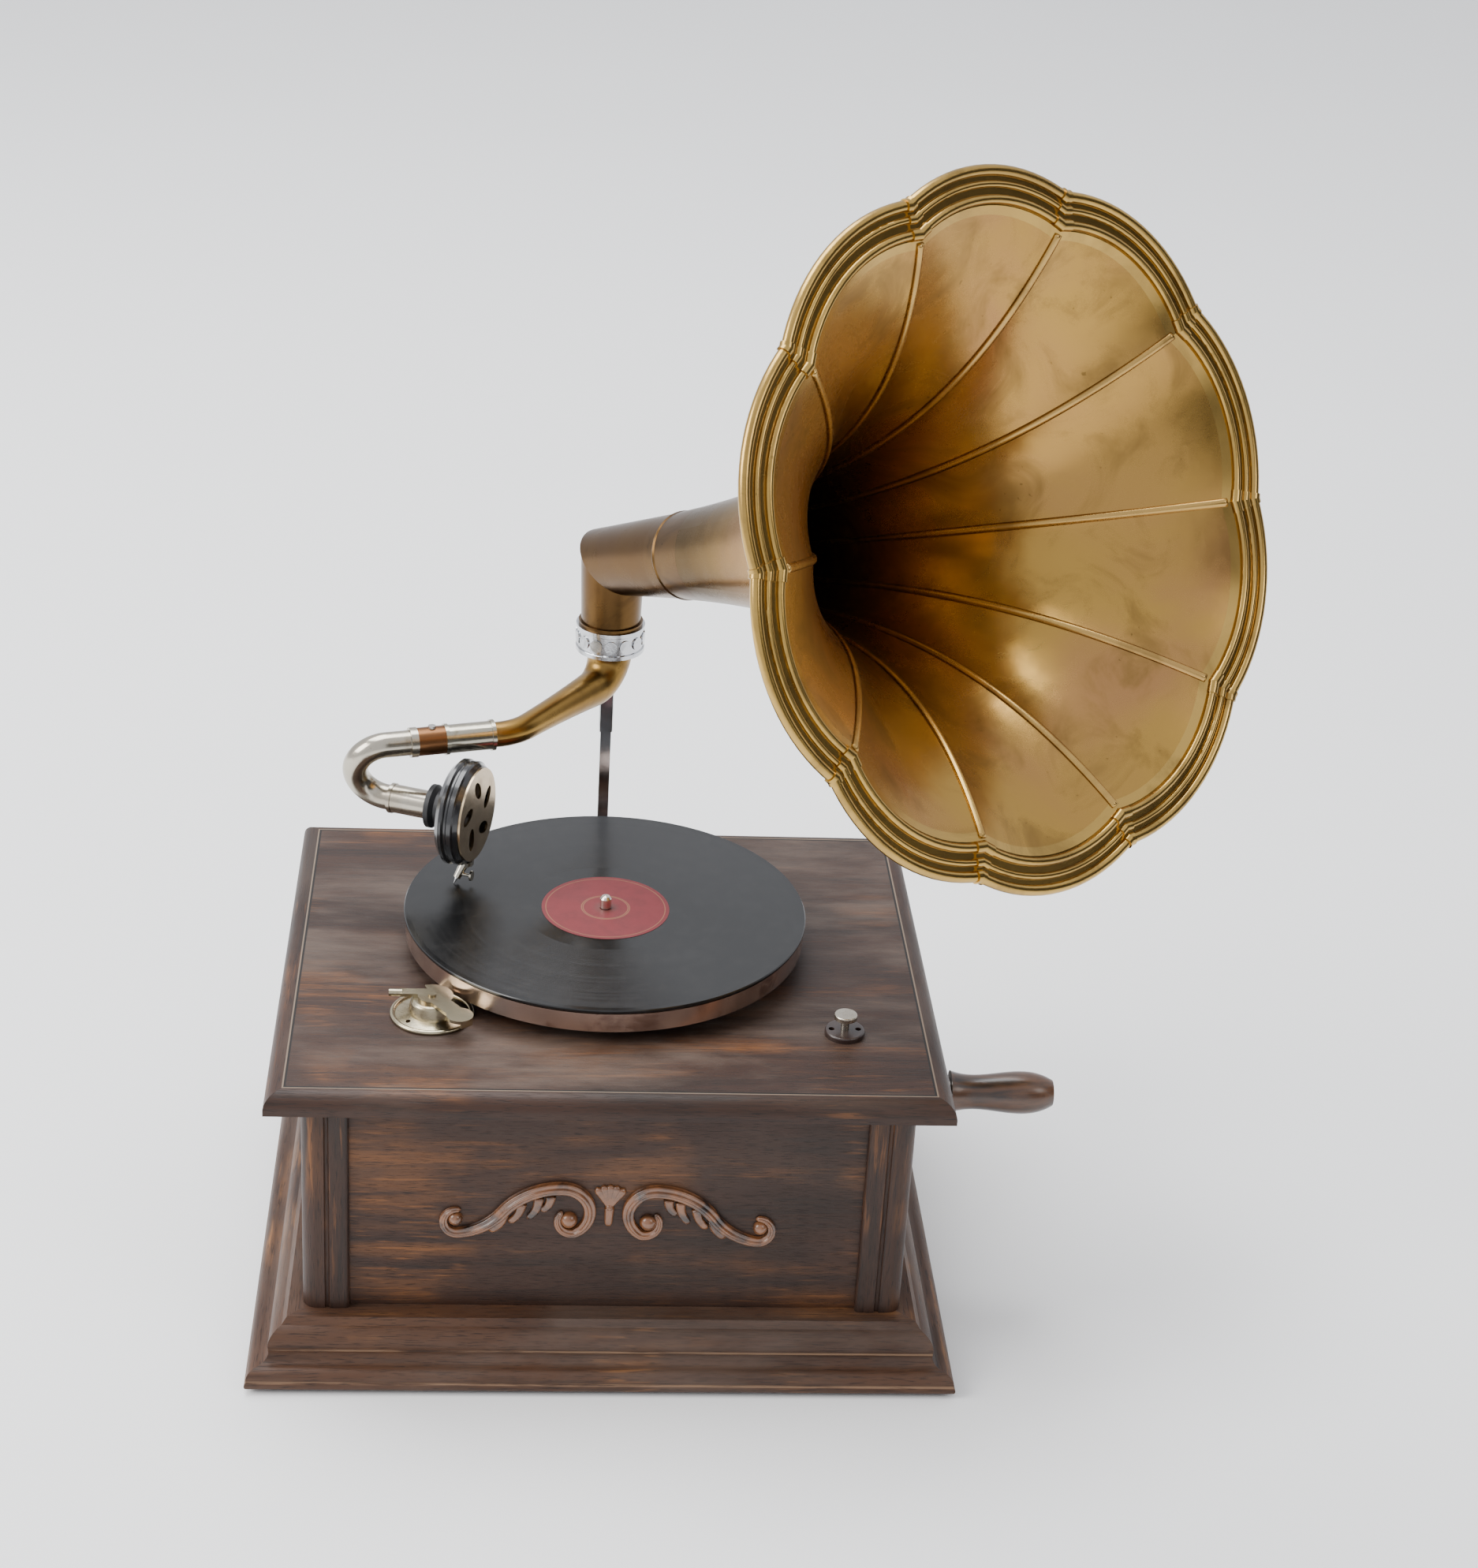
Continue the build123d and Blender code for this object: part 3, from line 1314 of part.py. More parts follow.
def stylus():
    """Stylus bar with its chuck, the needle and its thumb screw."""
    tip, up = needle_line()
    chuck = rod(tip + up * chuck_start, tip + up * (chuck_start + chuck_length), chuck_tip_radius, chuck_top_radius)
    top = tip + up * (chuck_start + chuck_length)
    block_top = -soundbox_radius - 0.05
    block_bottom = block_top - stylus_block_height
    bar = block(
        -stylus_block_width / 2,
        stylus_block_width / 2,
        block_bottom,
        block_top,
        -stylus_block_back,
        -stylus_block_front,
    )
    knuckle = Pos(top.X, block_bottom + stylus_block_height / 2, top.Z) * Box(
        chuck_top_radius * 2, stylus_block_height, chuck_top_radius * 2
    )
    arm_back = diaphragm_depth - 2.0
    arm = block(
        -stylus_arm_width / 2,
        stylus_arm_width / 2,
        block_bottom + 1,
        stylus_arm_width,
        -arm_back,
        -arm_back + stylus_arm_width,
    )
    pad = Pos(0, 0, (-arm_back - diaphragm_depth) / 2) * Cylinder(
        stylus_pad_radius, diaphragm_depth - arm_back
    )
    bore = rod(tip, tip + up * (needle_length + 0.5), needle_radius + press_gap)
    screw_axis = tip + up * screw_at
    out = Vector(0, 0, 1)
    level = math.sqrt(1 - up.Z**2)
    reach = (needle_radius + screw_shank_radius * up.Z) / level + running_clearance
    shank_start = screw_axis + out * reach
    shank_end = shank_start + out * screw_shank_length
    screw = rod(shank_start, shank_end, screw_shank_radius)
    screw += rod(shank_end, shank_end + out * screw_disc_thickness, screw_disc_radius)
    holder = bar + knuckle + chuck + arm + pad
    holder -= bore
    holder -= rod(screw_axis, shank_end, screw_shank_radius + running_clearance)
    needle = rod(tip, tip + up * needle_point, needle_radius / 4, needle_radius)
    needle += rod(tip + up * needle_point, tip + up * needle_length, needle_radius)
    place = soundbox_plane().location
    return place * holder, place * screw, place * needle


def main():
    os.makedirs("parts", exist_ok=True)
    save("plinth_moulding", plinth())
    save("bottom_board", bottom_board())
    save("corner_posts", corner_posts())
    front, back, left, right = panels()
    save("front_panel", front)
    save("back_panel", back)
    save("left_panel", left)
    save("right_panel", right)
    save("top_board", top_board())
    save("lid_moulding", lid_moulding())
    save("front_ornament", ornament())
    platter, felt, record, label, spindle = turntable()
    save("platter", platter)
    save("platter_felt", felt)
    save("record", record)
    save("record_label", label)
    save("spindle", spindle)
    plate, case, barrel, screws = motor()
    save("motor_plate", plate)
    save("motor_case", case)
    save("spring_barrel", barrel)
    save("motor_screws", screws)
    save("ratchet_wheel", ratchet_wheel())
    escutcheon, shaft, arm, handle = crank()
    save("crank_escutcheon", escutcheon)
    save("winding_shaft", shaft)
    save("crank_arm", arm)
    save("crank_handle", handle)
    brake_base, brake_lever = brake()
    save("brake_base", brake_base)
    save("brake_lever", brake_lever)
    speed_base, speed_knob = speed_control()
    save("speed_base", speed_base)
    save("speed_knob", speed_knob)
    casting, bracket_screws = bracket()
    save("horn_bracket", casting)
    save("bracket_screws", bracket_screws)
    save("horn_elbow", horn_elbow())
    save("horn_throat", horn_throat())
    place = horn_plane().location
    petals, rims, clips, strips = horn()
    for number, petal in enumerate(petals, 1):
        save(f"horn_petal_{number:02d}", place * petal)
    save("horn_rim", [place * rim for rim in rims])
    save("rim_clips", [place * clip for clip in clips])
    save("horn_seams", [place * strip for strip in strips])
    tube, sleeve, collar, collar_screw, collar_end, forward = tone_arm()
    save("tone_arm_tube", tube)
    save("arm_sleeve", sleeve)
    save("swivel_collar", collar)
    save("collar_screw", collar_screw)
    neck, neck_sleeve = gooseneck(collar_end, forward)
    save("gooseneck_tube", neck)
    save("gooseneck_sleeve", neck_sleeve)
    save("rubber_flange", rubber_flange())
    shell, diaphragm, face = soundbox()
    save("soundbox_shell", shell)
    save("diaphragm", diaphragm)
    save("face_plate", face)
    holder, screw, needle = stylus()
    save("stylus_bar", holder)
    save("needle_screw", screw)
    save("needle", needle)


main()
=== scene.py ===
"""Looks of a wind-up gramophone: stained oak, old brass, nickel and shellac."""
import logging
import math
from collections.abc import Sequence
from dataclasses import dataclass, field
from enum import Enum
from typing import Protocol

import bmesh
import bpy
from mathutils import Matrix, Vector


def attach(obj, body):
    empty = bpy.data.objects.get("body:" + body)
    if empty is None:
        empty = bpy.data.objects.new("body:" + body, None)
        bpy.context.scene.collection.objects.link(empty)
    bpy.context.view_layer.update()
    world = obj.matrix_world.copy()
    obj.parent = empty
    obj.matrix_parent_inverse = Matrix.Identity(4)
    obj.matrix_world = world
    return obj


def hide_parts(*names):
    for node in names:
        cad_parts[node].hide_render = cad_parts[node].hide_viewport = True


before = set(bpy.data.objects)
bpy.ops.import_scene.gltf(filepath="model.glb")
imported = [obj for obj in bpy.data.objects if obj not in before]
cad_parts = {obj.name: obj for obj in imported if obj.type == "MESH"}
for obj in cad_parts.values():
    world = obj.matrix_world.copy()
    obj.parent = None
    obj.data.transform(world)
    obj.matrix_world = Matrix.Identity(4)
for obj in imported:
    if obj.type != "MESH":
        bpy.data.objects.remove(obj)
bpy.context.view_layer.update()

LOG = logging.getLogger("gramophone")

Colour = tuple[float, float, float]
Spot = tuple[float, float, float]
Place = tuple[float, float]

MM_PER_METRE = 1000.0
FULL_TURN = 2.0 * math.pi
SKYWARD = Vector((0.0, 0.0, 1.0))
OUT_OF_PANEL = Vector((0.0, -1.0, 0.0))


class Grain(Enum):
    """Way that the grain of a wooden piece runs."""

    ALONG_X = "x"
    ALONG_Y = "y"
    UPRIGHT = "z"
    MITRED = "frame"


class Value:
    """A number that varies over a surface, held as one output of a node."""

    line_core = 0.35

    def __init__(self, bench: "Bench", socket: bpy.types.NodeSocket) -> None:
        """Keeps the socket and the bench that it is on.

        Args:
            bench: The material's bench.
            socket: The output that carries the number.
        """
        self.bench = bench
        self.socket = socket

    def maths(self, operation: str, *others: "Value | float") -> "Value":
        """Adds a Math node on this value.

        Args:
            operation: The Math node's operation.
            others: The further values or numbers.

        Returns:
            The node's result.
        """
        inputs = dict(enumerate((self, *others)))
        return self.bench.node("ShaderNodeMath", {"operation": operation}, inputs)

    def __add__(self, other: "Value | float") -> "Value":
        """Sum."""
        return self.maths("ADD", other)

    __radd__ = __add__

    def __mul__(self, other: "Value | float") -> "Value":
        """Product."""
        return self.maths("MULTIPLY", other)

    __rmul__ = __mul__

    def __sub__(self, other: "Value | float") -> "Value":
        """Difference."""
        return self.maths("SUBTRACT", other)

    def __rsub__(self, other: float) -> "Value":
        """Difference from a number."""
        return self.maths("MULTIPLY", -1.0) + other

    def __truediv__(self, other: "Value | float") -> "Value":
        """Quotient."""
        return self.maths("DIVIDE", other)

    def __pow__(self, other: float) -> "Value":
        """Power."""
        return self.maths("POWER", other)

    def __abs__(self) -> "Value":
        """Size without its sign."""
        return self.maths("ABSOLUTE")

    def above(self, low: float, high: float) -> "Value":
        """Smooth step that is 0 under low and 1 over high.

        Args:
            low: The number at which the step begins.
            high: The number at which it is complete.

        Returns:
            The step's value.
        """
        inputs = {"Value": self, "From Min": low, "From Max": high}
        return self.bench.node("ShaderNodeMapRange", {"interpolation_type": "SMOOTHSTEP"}, inputs)

    def near(self, target: float, width: float) -> "Value":
        """Soft line that is 1 at a number and 0 further than a width from it.

        Args:
            target: The number in the middle of the line.
            width: Half the width of the line.

        Returns:
            The line's mask.
        """
        return 1.0 - abs(self - target).above(width * self.line_core, width)


class Bench:
    """One material's node tree and the short ways to work on it."""

    colour_ends = (6, 7)
    colour_result = 2
    vector_ends = (4, 5)
    vector_result = 1

    def __init__(self, name: str) -> None:
        """Makes an empty material with its shader.

        Args:
            name: The material's name.
        """
        self.material = bpy.data.materials.new(name)
        self.material.use_nodes = True
        self.tree = self.material.node_tree
        self.shader = self.tree.nodes["Principled BSDF"]

    def node(
        self,
        kind: str,
        settings: dict[str, object] | None = None,
        inputs: dict[str | int, object] | None = None,
        output: str | int = 0,
    ) -> Value:
        """Adds any node, with its settings first and its sockets after.

        Args:
            kind: The node's type.
            settings: Its properties, or "stops" for a ramp's stops.
            inputs: Numbers, colours or values for its sockets.
            output: Name or number of the output to hand back.

        Returns:
            The chosen output.
        """
        made = self.tree.nodes.new(kind)
        for key, setting in (settings or {}).items():
            if key == "stops":
                self.lay_stops(made.color_ramp, setting)
            else:
                setattr(made, key, setting)
        for key, given in (inputs or {}).items():
            if isinstance(given, Value):
                self.tree.links.new(given.socket, made.inputs[key])
            else:
                made.inputs[key].default_value = given
        return Value(self, made.outputs[output])

    @staticmethod
    def lay_stops(ramp: bpy.types.ColorRamp, stops: list[tuple[float, Colour]]) -> None:
        """Sets a ramp's stops.

        Args:
            ramp: The ramp.
            stops: Place and colour of each stop, in order.
        """
        while len(ramp.elements) > 1:
            ramp.elements.remove(ramp.elements[-1])
        for index, (place, colour) in enumerate(stops):
            stop = ramp.elements[0] if index == 0 else ramp.elements.new(place)
            stop.position = place
            stop.color = (*colour, 1.0)

    def place(self) -> tuple[Value, Value, Value]:
        """Position on the object, in metres, as three values."""
        spot = self.node("ShaderNodeTexCoord", output="Object")
        return tuple(self.node("ShaderNodeSeparateXYZ", None, {0: spot}, axis) for axis in "XYZ")

    def vector(self, x: Value | float, y: Value | float, z: Value | float) -> Value:
        """Vector from three values."""
        return self.node("ShaderNodeCombineXYZ", None, {0: x, 1: y, 2: z})

    def stretched(self, way: tuple[Value, Value, Value], along: float, across: float) -> Value:
        """Place that is drawn out along a grain.

        Args:
            way: The place along, across and into the grain.
            along: Units to a metre along the grain.
            across: Units to a metre the other two ways.

        Returns:
            The place, for a noise with a scale of 1.
        """
        return self.vector(way[0] * along, way[1] * across, way[2] * across)

    def noise(
        self,
        at: Value | None,
        scale: float,
        detail: float = 3.0,
        rough: float = 0.5,
        bend: float = 0.0,
    ) -> Value:
        """Cloudy noise.

        Args:
            at: Where it is read, or None for the place on the object.
            scale: Clouds to a metre, or to a unit of the given place.
            detail: Number of finer layers.
            rough: Strength of the finer layers.
            bend: How far the clouds are drawn out.

        Returns:
            A value of about 0.2 to 0.8.
        """
        spot = at or self.node("ShaderNodeTexCoord", output="Object")
        inputs = {"Vector": spot, "Scale": scale, "Detail": detail}
        inputs |= {"Roughness": rough, "Distortion": bend}
        return self.node("ShaderNodeTexNoise", None, inputs)

    def blend(self, share: Value | float, first: Value | Colour, second: Value | Colour) -> Value:
        """Mixes two colours.

        Args:
            share: Share of the second.
            first: Colour where the share is 0.
            second: Colour where it is 1.

        Returns:
            The mixed colour.
        """
        ends = [c if isinstance(c, Value) else (*c, 1.0) for c in (first, second)]
        inputs = {0: share, **dict(zip(self.colour_ends, ends))}
        return self.node("ShaderNodeMix", {"data_type": "RGBA"}, inputs, self.colour_result)

    def blend_vectors(self, share: Value, first: Value, second: Value) -> Value:
        """Mixes two vectors, as blend does with colours."""
        inputs = {0: share, **dict(zip(self.vector_ends, (first, second)))}
        return self.node("ShaderNodeMix", {"data_type": "VECTOR"}, inputs, self.vector_result)

    def ramp(self, share: Value, stops: list[tuple[float, Colour]]) -> Value:
        """Colour that follows a value through its stops."""
        return self.node("ShaderNodeValToRGB", {"stops": stops}, {0: share})

    def feed(self, **sockets: Value | float | Colour) -> None:
        """Gives the shader its values.

        Args:
            sockets: Shader sockets by name, with underscores for spaces.
        """
        for key, given in sockets.items():
            socket = self.shader.inputs[key.replace("_", " ").title().replace("Ior", "IOR")]
            if isinstance(given, Value):
                self.tree.links.new(given.socket, socket)
            else:
                socket.default_value = (*given, 1.0) if isinstance(given, tuple) else given

    def bump(self, height: Value, distance: float, strength: float = 1.0) -> None:
        """Raises the surface by a height.

        Args:
            height: The height, from 0 to 1.
            distance: What a height of 1 is, in metres.
            strength: Share of the effect that shows.
        """
        inputs = {"Strength": strength, "Distance": distance, "Height": height}
        self.feed(normal=self.node("ShaderNodeBump", None, inputs))


def scaled(colour: Colour, share: float) -> Colour:
    """Colour made darker by a share."""
    return tuple(part * share for part in colour)


def reach_from(shares: tuple[Value, ...], centre: tuple[float, ...]) -> Value:
    """Distance from a centre, in as many directions as it has.

    Args:
        shares: Place on the object, one value for each direction.
        centre: The centre, in the same order.

    Returns:
        The distance in metres.
    """
    squares = [(share - middle) ** 2.0 for share, middle in zip(shares, centre)]
    total = squares[0]
    for square in squares[1:]:
        total = total + square
    return total ** 0.5


class Finish(Protocol):
    """Anything that has a name and builds a material."""

    @property
    def name(self) -> str:
        """Name of its material."""

    def material(self) -> bpy.types.Material:
        """Builds the material."""


@dataclass(frozen=True)
class StainedOak:
    """Dark stained oak with open grain, dust, and lighter edge lines that are partly rubbed wear
    and partly painted highlight.
    """

    name: str
    grain: Grain
    dark: Colour = (0.0125, 0.0065, 0.0045)
    middle: Colour = (0.036, 0.016, 0.0095)
    light: Colour = (0.150, 0.058, 0.018)
    dust: float = 0.0
    dust_colour: Colour = (0.115, 0.082, 0.064)
    # Lighter lines at set heights along the edges: partly rubbed wear, partly painted highlight.
    rub_and_highlight_heights: tuple[float, ...] = ()
    rub_and_highlight_half_width: float = 0.0011
    rub_and_highlight_colour: Colour = (0.24, 0.145, 0.085)
    joint: Place | None = None
    # Lighter line at the joint: partly rubbed wear, partly painted highlight.
    joint_rub_and_highlight_colour: Colour = (0.24, 0.18, 0.13)
    gap_colour: Colour = (0.006, 0.004, 0.003)
    corner_difference: float = 0.0295
    corner_blur: float = 0.0002
    pore_depth: float = 0.00035

    def way(self, bench: Bench) -> tuple[Value, Value, Value]:
        """Place along, across and into the grain.

        Args:
            bench: The material's bench.

        Returns:
            The three values, in metres.
        """
        x, y, z = bench.place()
        if self.grain is Grain.ALONG_X:
            return x, y, z
        if self.grain is Grain.ALONG_Y:
            return y, x, z
        if self.grain is Grain.UPRIGHT:
            return z, x, y
        low = self.corner_difference - self.corner_blur
        side = (abs(x) - abs(y)).above(low, self.corner_difference + self.corner_blur)
        return x + (y - x) * side, y + (x - y) * side, z

    def weathered(self, bench: Bench, wood: Value, way: tuple[Value, ...], fibre: Value) -> Value:
        """Lays dust over the wood and paints lighter edge lines, partly rubbed wear and partly
        painted highlight.

        Args:
            bench: The material's bench.
            wood: The wood's colour.
            way: Place along, across and into the grain.
            fibre: The finest grain.

        Returns:
            The colour with dust, the lighter lines of rubbing and painted highlight, and the joint
            with its lighter edge.
        """
        if self.dust:
            film = bench.noise(bench.stretched(way, 7.0, 22.0), 1.0, 5.0, 0.6, 0.3)
            film = film.above(0.42, 0.70) * (fibre * 0.8 + 0.5) * self.dust
            wood = bench.blend(film, wood, self.dust_colour)
        x, y, z = bench.place()
        # Painted highlight and rubbed wear: a lighter line at each set height.
        for height in self.rub_and_highlight_heights:
            line = z.near(height, self.rub_and_highlight_half_width) * fibre.above(0.36, 0.60) * 0.75
            wood = bench.blend(line, wood, self.rub_and_highlight_colour)
        if self.joint:
            edge = (abs(x) - self.joint[0]).maths("MAXIMUM", abs(y) - self.joint[1])
            # A lighter line just inside the joint, partly rubbed wear and partly painted highlight,
            # then the dark gap.
            wood = bench.blend(edge.near(0.0013, 0.0007) * 0.7, wood, self.joint_rub_and_highlight_colour)
            wood = bench.blend(edge.near(0.0002, 0.0009), wood, self.gap_colour)
        return wood

    def material(self) -> bpy.types.Material:
        """Builds the material."""
        bench = Bench(self.name)
        way = self.way(bench)
        figure = bench.noise(bench.stretched(way, 4.0, 46.0), 1.0, 4.0, 0.55, 0.9)
        fibre = bench.noise(bench.stretched(way, 22.0, 420.0), 1.0, 5.0, 0.62)
        pore = bench.noise(bench.stretched(way, 90.0, 1500.0), 1.0, 2.0).above(0.56, 0.66)
        patch = bench.noise(bench.stretched(way, 5.0, 16.0), 1.0, 4.0, 0.55, 0.4)
        streak = bench.noise(bench.stretched(way, 26.0, 330.0), 1.0, 2.0).above(0.56, 0.66)
        stops = [(0.34, self.dark), (0.48, self.middle), (0.58, self.middle), (0.70, self.light)]
        wood = bench.ramp(figure * 0.62 + fibre * 0.38, stops)
        wood = bench.blend(patch.above(0.44, 0.66) * 0.55, wood, self.dark)
        worn = figure.above(0.45, 0.60) * 0.45 + streak * 0.55
        glow = bench.noise(None, 11.0).above(0.50, 0.68) * worn
        wood = bench.blend(glow, wood, self.light)
        wood = bench.blend(pore * 0.6, wood, scaled(self.dark, 0.35))
        wood = self.weathered(bench, wood, way, fibre)
        bench.feed(base_color=wood, roughness=fibre * 0.25 + 0.36, specular_ior_level=0.30)
        bench.bump(fibre * 0.6 + (1.0 - pore) * 0.4, self.pore_depth, 0.5)
        return bench.material


@dataclass(frozen=True)
class OldBrass:
    """Polished brass that has gone uneven, with stains and soft dents."""

    name: str
    bright: Colour = (0.420, 0.250, 0.062)
    dull: Colour = (0.215, 0.125, 0.036)
    rose: Colour = (0.375, 0.195, 0.080)
    gloss: float = 0.20
    dent: float = 0.0016
    darkened_round: Spot | None = None
    darkened_reach: float = 0.25
    darkened_share: float = 0.42
    fleck_share: float = 0.32

    def material(self) -> bpy.types.Material:
        """Builds the material."""
        bench = Bench(self.name)
        cloud = bench.noise(None, 7.0, 4.0, 0.5, 0.6)
        stain = bench.noise(None, 19.0, 5.0, 0.62, 1.2)
        fleck = bench.noise(None, 210.0, 3.0, 0.6).above(0.66, 0.74) * stain.above(0.45, 0.6)
        scratch = bench.noise(None, 900.0, 2.0, 0.7, 2.0)
        metal = bench.blend(cloud.above(0.36, 0.66), self.bright, self.rose)
        metal = bench.blend(stain.above(0.46, 0.72) * 0.75, metal, self.dull)
        # Darker towards the throat, within a set reach of the elbow.
        if self.darkened_round:
            away = reach_from(bench.place(), self.darkened_round) + stain * 0.05
            darkening = 1.0 - away.above(self.darkened_reach * 0.55, self.darkened_reach)
            metal = bench.blend(darkening, metal, scaled(self.dull, self.darkened_share))
        metal = bench.blend(fleck * 0.55, metal, scaled(self.dull, self.fleck_share))
        rough = stain * 0.16 + cloud * 0.10 + scratch * 0.05 + self.gloss - 0.08
        bench.feed(base_color=metal, metallic=1.0, roughness=rough)
        bench.bump(bench.noise(None, 26.0, 2.0) + scratch * 0.006, self.dent, 0.35)
        return bench.material


@dataclass(frozen=True)
class Plating:
    """Nickel, chrome or steel, with worn patches that show the metal under it."""

    name: str
    shine: Colour
    under: Colour
    worn: float
    gloss: float
    pit_share: float = 0.3
    pit_depth: float = 0.00008

    def material(self) -> bpy.types.Material:
        """Builds the material."""
        bench = Bench(self.name)
        cloud = bench.noise(None, 60.0, 4.0, 0.55, 0.5)
        pit = bench.noise(None, 700.0, 3.0, 0.6)
        metal = bench.blend(cloud.above(0.5, 0.72) * self.worn, self.shine, self.under)
        pitted = scaled(self.under, self.pit_share)
        metal = bench.blend(pit.above(0.64, 0.72) * self.worn, metal, pitted)
        rough = cloud * 0.14 + pit * 0.06 + self.gloss - 0.06
        bench.feed(base_color=metal, metallic=1.0, roughness=rough)
        bench.bump(pit, self.pit_depth, 0.35)
        return bench.material


@dataclass(frozen=True)
class TurnedWood:
    """Varnished wood, turned on a lathe or carved, with light and dark grain and patches."""

    name: str
    dark: Colour = (0.016, 0.0075, 0.0045)
    light: Colour = (0.090, 0.036, 0.013)
    shine: float = 0.35
    grain_along: float = 9.0
    grain_across: float = 95.0
    grain_depth: float = 0.0002

    def material(self) -> bpy.types.Material:
        """Builds the material."""
        bench = Bench(self.name)
        spot = bench.stretched(bench.place(), self.grain_along, self.grain_across)
        grain = bench.noise(spot, 1.0, 5.0, 0.6, 1.0)
        patch = bench.noise(None, 38.0)
        stops = [(0.36, self.dark), (0.52, self.light), (0.70, self.dark)]
        wood = bench.ramp(grain * 0.6 + patch * 0.4, stops)
        wood = bench.blend(patch.above(0.52, 0.70) * 0.6, wood, self.dark)
        bench.feed(base_color=wood, roughness=grain * 0.2 + 0.26)
        bench.feed(coat_weight=self.shine, coat_roughness=0.18)
        bench.bump(grain, self.grain_depth, 0.4)
        return bench.material


@dataclass(frozen=True)
class Shellac:
    """Black shellac disc with concentric grooves."""

    name: str
    centre: Place
    first_groove: float = 0.052
    last_groove: float = 0.1215
    groove_fade: float = 0.0008
    pitch: float = 0.00034
    black: Colour = (0.0045, 0.0046, 0.0048)
    dusty: Colour = (0.016, 0.0155, 0.0150)
    worn: Colour = (0.011, 0.011, 0.011)

    def grooved(self, bench: Bench, reach: Value, band: Value, played: Value) -> Value:
        """Normal that tilts to and fro across the grooves.

        Args:
            bench: The material's bench.
            reach: Distance from the centre.
            band: Value that varies from one band of grooves to the next.
            played: Mask of the grooves.

        Returns:
            The normal, in the world's directions.
        """
        x, y, _ = bench.place()
        wave = (reach * (FULL_TURN / self.pitch)).maths("SINE")
        slope = wave * (band * 0.14 + 0.03) / reach
        spot = bench.vector((x - self.centre[0]) * slope, (y - self.centre[1]) * slope, 1.0)
        turn = {"vector_type": "NORMAL", "convert_from": "OBJECT", "convert_to": "WORLD"}
        groove = bench.node("ShaderNodeVectorTransform", turn, {0: spot})
        flat = bench.node("ShaderNodeNewGeometry", output="Normal")
        mixed = bench.blend_vectors(played, flat, groove)
        return bench.node("ShaderNodeVectorMath", {"operation": "NORMALIZE"}, {0: mixed})

    def material(self) -> bpy.types.Material:
        """Builds the material."""
        bench = Bench(self.name)
        reach = reach_from(bench.place()[:2], self.centre)
        played = reach.above(self.first_groove, self.first_groove + self.groove_fade)
        played = played * (1.0 - reach.above(self.last_groove - self.groove_fade, self.last_groove))
        band = bench.noise(bench.vector(reach * 260.0, 0.0, 0.0), 1.0, 3.0, 0.6)
        dust = bench.noise(None, 75.0, 5.0, 0.65, 0.6)
        colour = bench.blend(dust.above(0.45, 0.75) * 0.5, self.black, self.dusty)
        colour = bench.blend(band.above(0.5, 0.7) * played * 0.4, colour, self.worn)
        rough = band * 0.08 + played * 0.05 + dust * 0.08 + 0.10
        bench.feed(base_color=colour, roughness=rough, specular_ior_level=0.5)
        bench.feed(normal=self.grooved(bench, reach, band, played))
        return bench.material


@dataclass(frozen=True)
class PaperLabel:
    """Red paper label with plain printed rings."""

    name: str
    centre: Place
    paper: Colour = (0.150, 0.010, 0.014)
    aged: Colour = (0.105, 0.011, 0.013)
    ink: Colour = (0.26, 0.13, 0.06)
    soiled: Colour = (0.10, 0.03, 0.025)
    rings: tuple[float, ...] = (0.0140, 0.0150, 0.0372)
    ring_half_width: float = 0.00035
    soiled_reach: Place = (0.0045, 0.0095)
    paper_depth: float = 0.00006

    def material(self) -> bpy.types.Material:
        """Builds the material."""
        bench = Bench(self.name)
        reach = reach_from(bench.place()[:2], self.centre)
        age = bench.noise(None, 90.0, 4.0, 0.6)
        colour = bench.blend(age.above(0.4, 0.7) * 0.6, self.paper, self.aged)
        for ring in self.rings:
            colour = bench.blend(reach.near(ring, self.ring_half_width) * 0.8, colour, self.ink)
        soil = (1.0 - reach.above(*self.soiled_reach)) * 0.7
        colour = bench.blend(soil, colour, self.soiled)
        bench.feed(base_color=colour, roughness=age * 0.2 + 0.42)
        bench.bump(age, self.paper_depth, 0.4)
        return bench.material


@dataclass(frozen=True)
class Moulded:
    """Rubber, enamel, felt or moulded resin: one dark colour with dust and fine texture."""

    name: str
    colour: Colour
    dusty: Colour
    gloss: float
    coat: float = 0.0
    texture: float = 500.0
    depth: float = 0.00008

    def material(self) -> bpy.types.Material:
        """Builds the material."""
        bench = Bench(self.name)
        dust = bench.noise(None, 55.0, 5.0, 0.62, 0.5)
        fine = bench.noise(None, self.texture, 3.0, 0.6)
        bench.feed(base_color=bench.blend(dust.above(0.45, 0.75) * 0.5, self.colour, self.dusty))
        bench.feed(roughness=dust * 0.16 + self.gloss, coat_weight=self.coat, coat_roughness=0.12)
        bench.bump(fine, self.depth, 0.5)
        return bench.material


@dataclass(frozen=True)
class ClearSheet:
    """Thin mica sheet with a few flaws."""

    name: str
    sheet: Colour = (0.16, 0.13, 0.09)
    flawed: Colour = (0.30, 0.27, 0.20)

    def material(self) -> bpy.types.Material:
        """Builds the material."""
        bench = Bench(self.name)
        flaw = bench.noise(None, 160.0, 4.0, 0.6, 1.0)
        colour = bench.blend(flaw.above(0.45, 0.7), self.sheet, self.flawed)
        bench.feed(base_color=colour, roughness=flaw * 0.2 + 0.1, coat_weight=0.6)
        return bench.material


@dataclass(frozen=True)
class Matt:
    """Paper or cloth of the studio."""

    name: str
    dark: Colour
    light: Colour
    clouds: float
    rough: float
    specular: float = 0.5

    def material(self) -> bpy.types.Material:
        """Builds the material."""
        bench = Bench(self.name)
        cloud = bench.noise(None, self.clouds, 2.0)
        bench.feed(base_color=bench.blend(cloud, self.dark, self.light), roughness=self.rough)
        bench.feed(specular_ior_level=self.specular)
        return bench.material
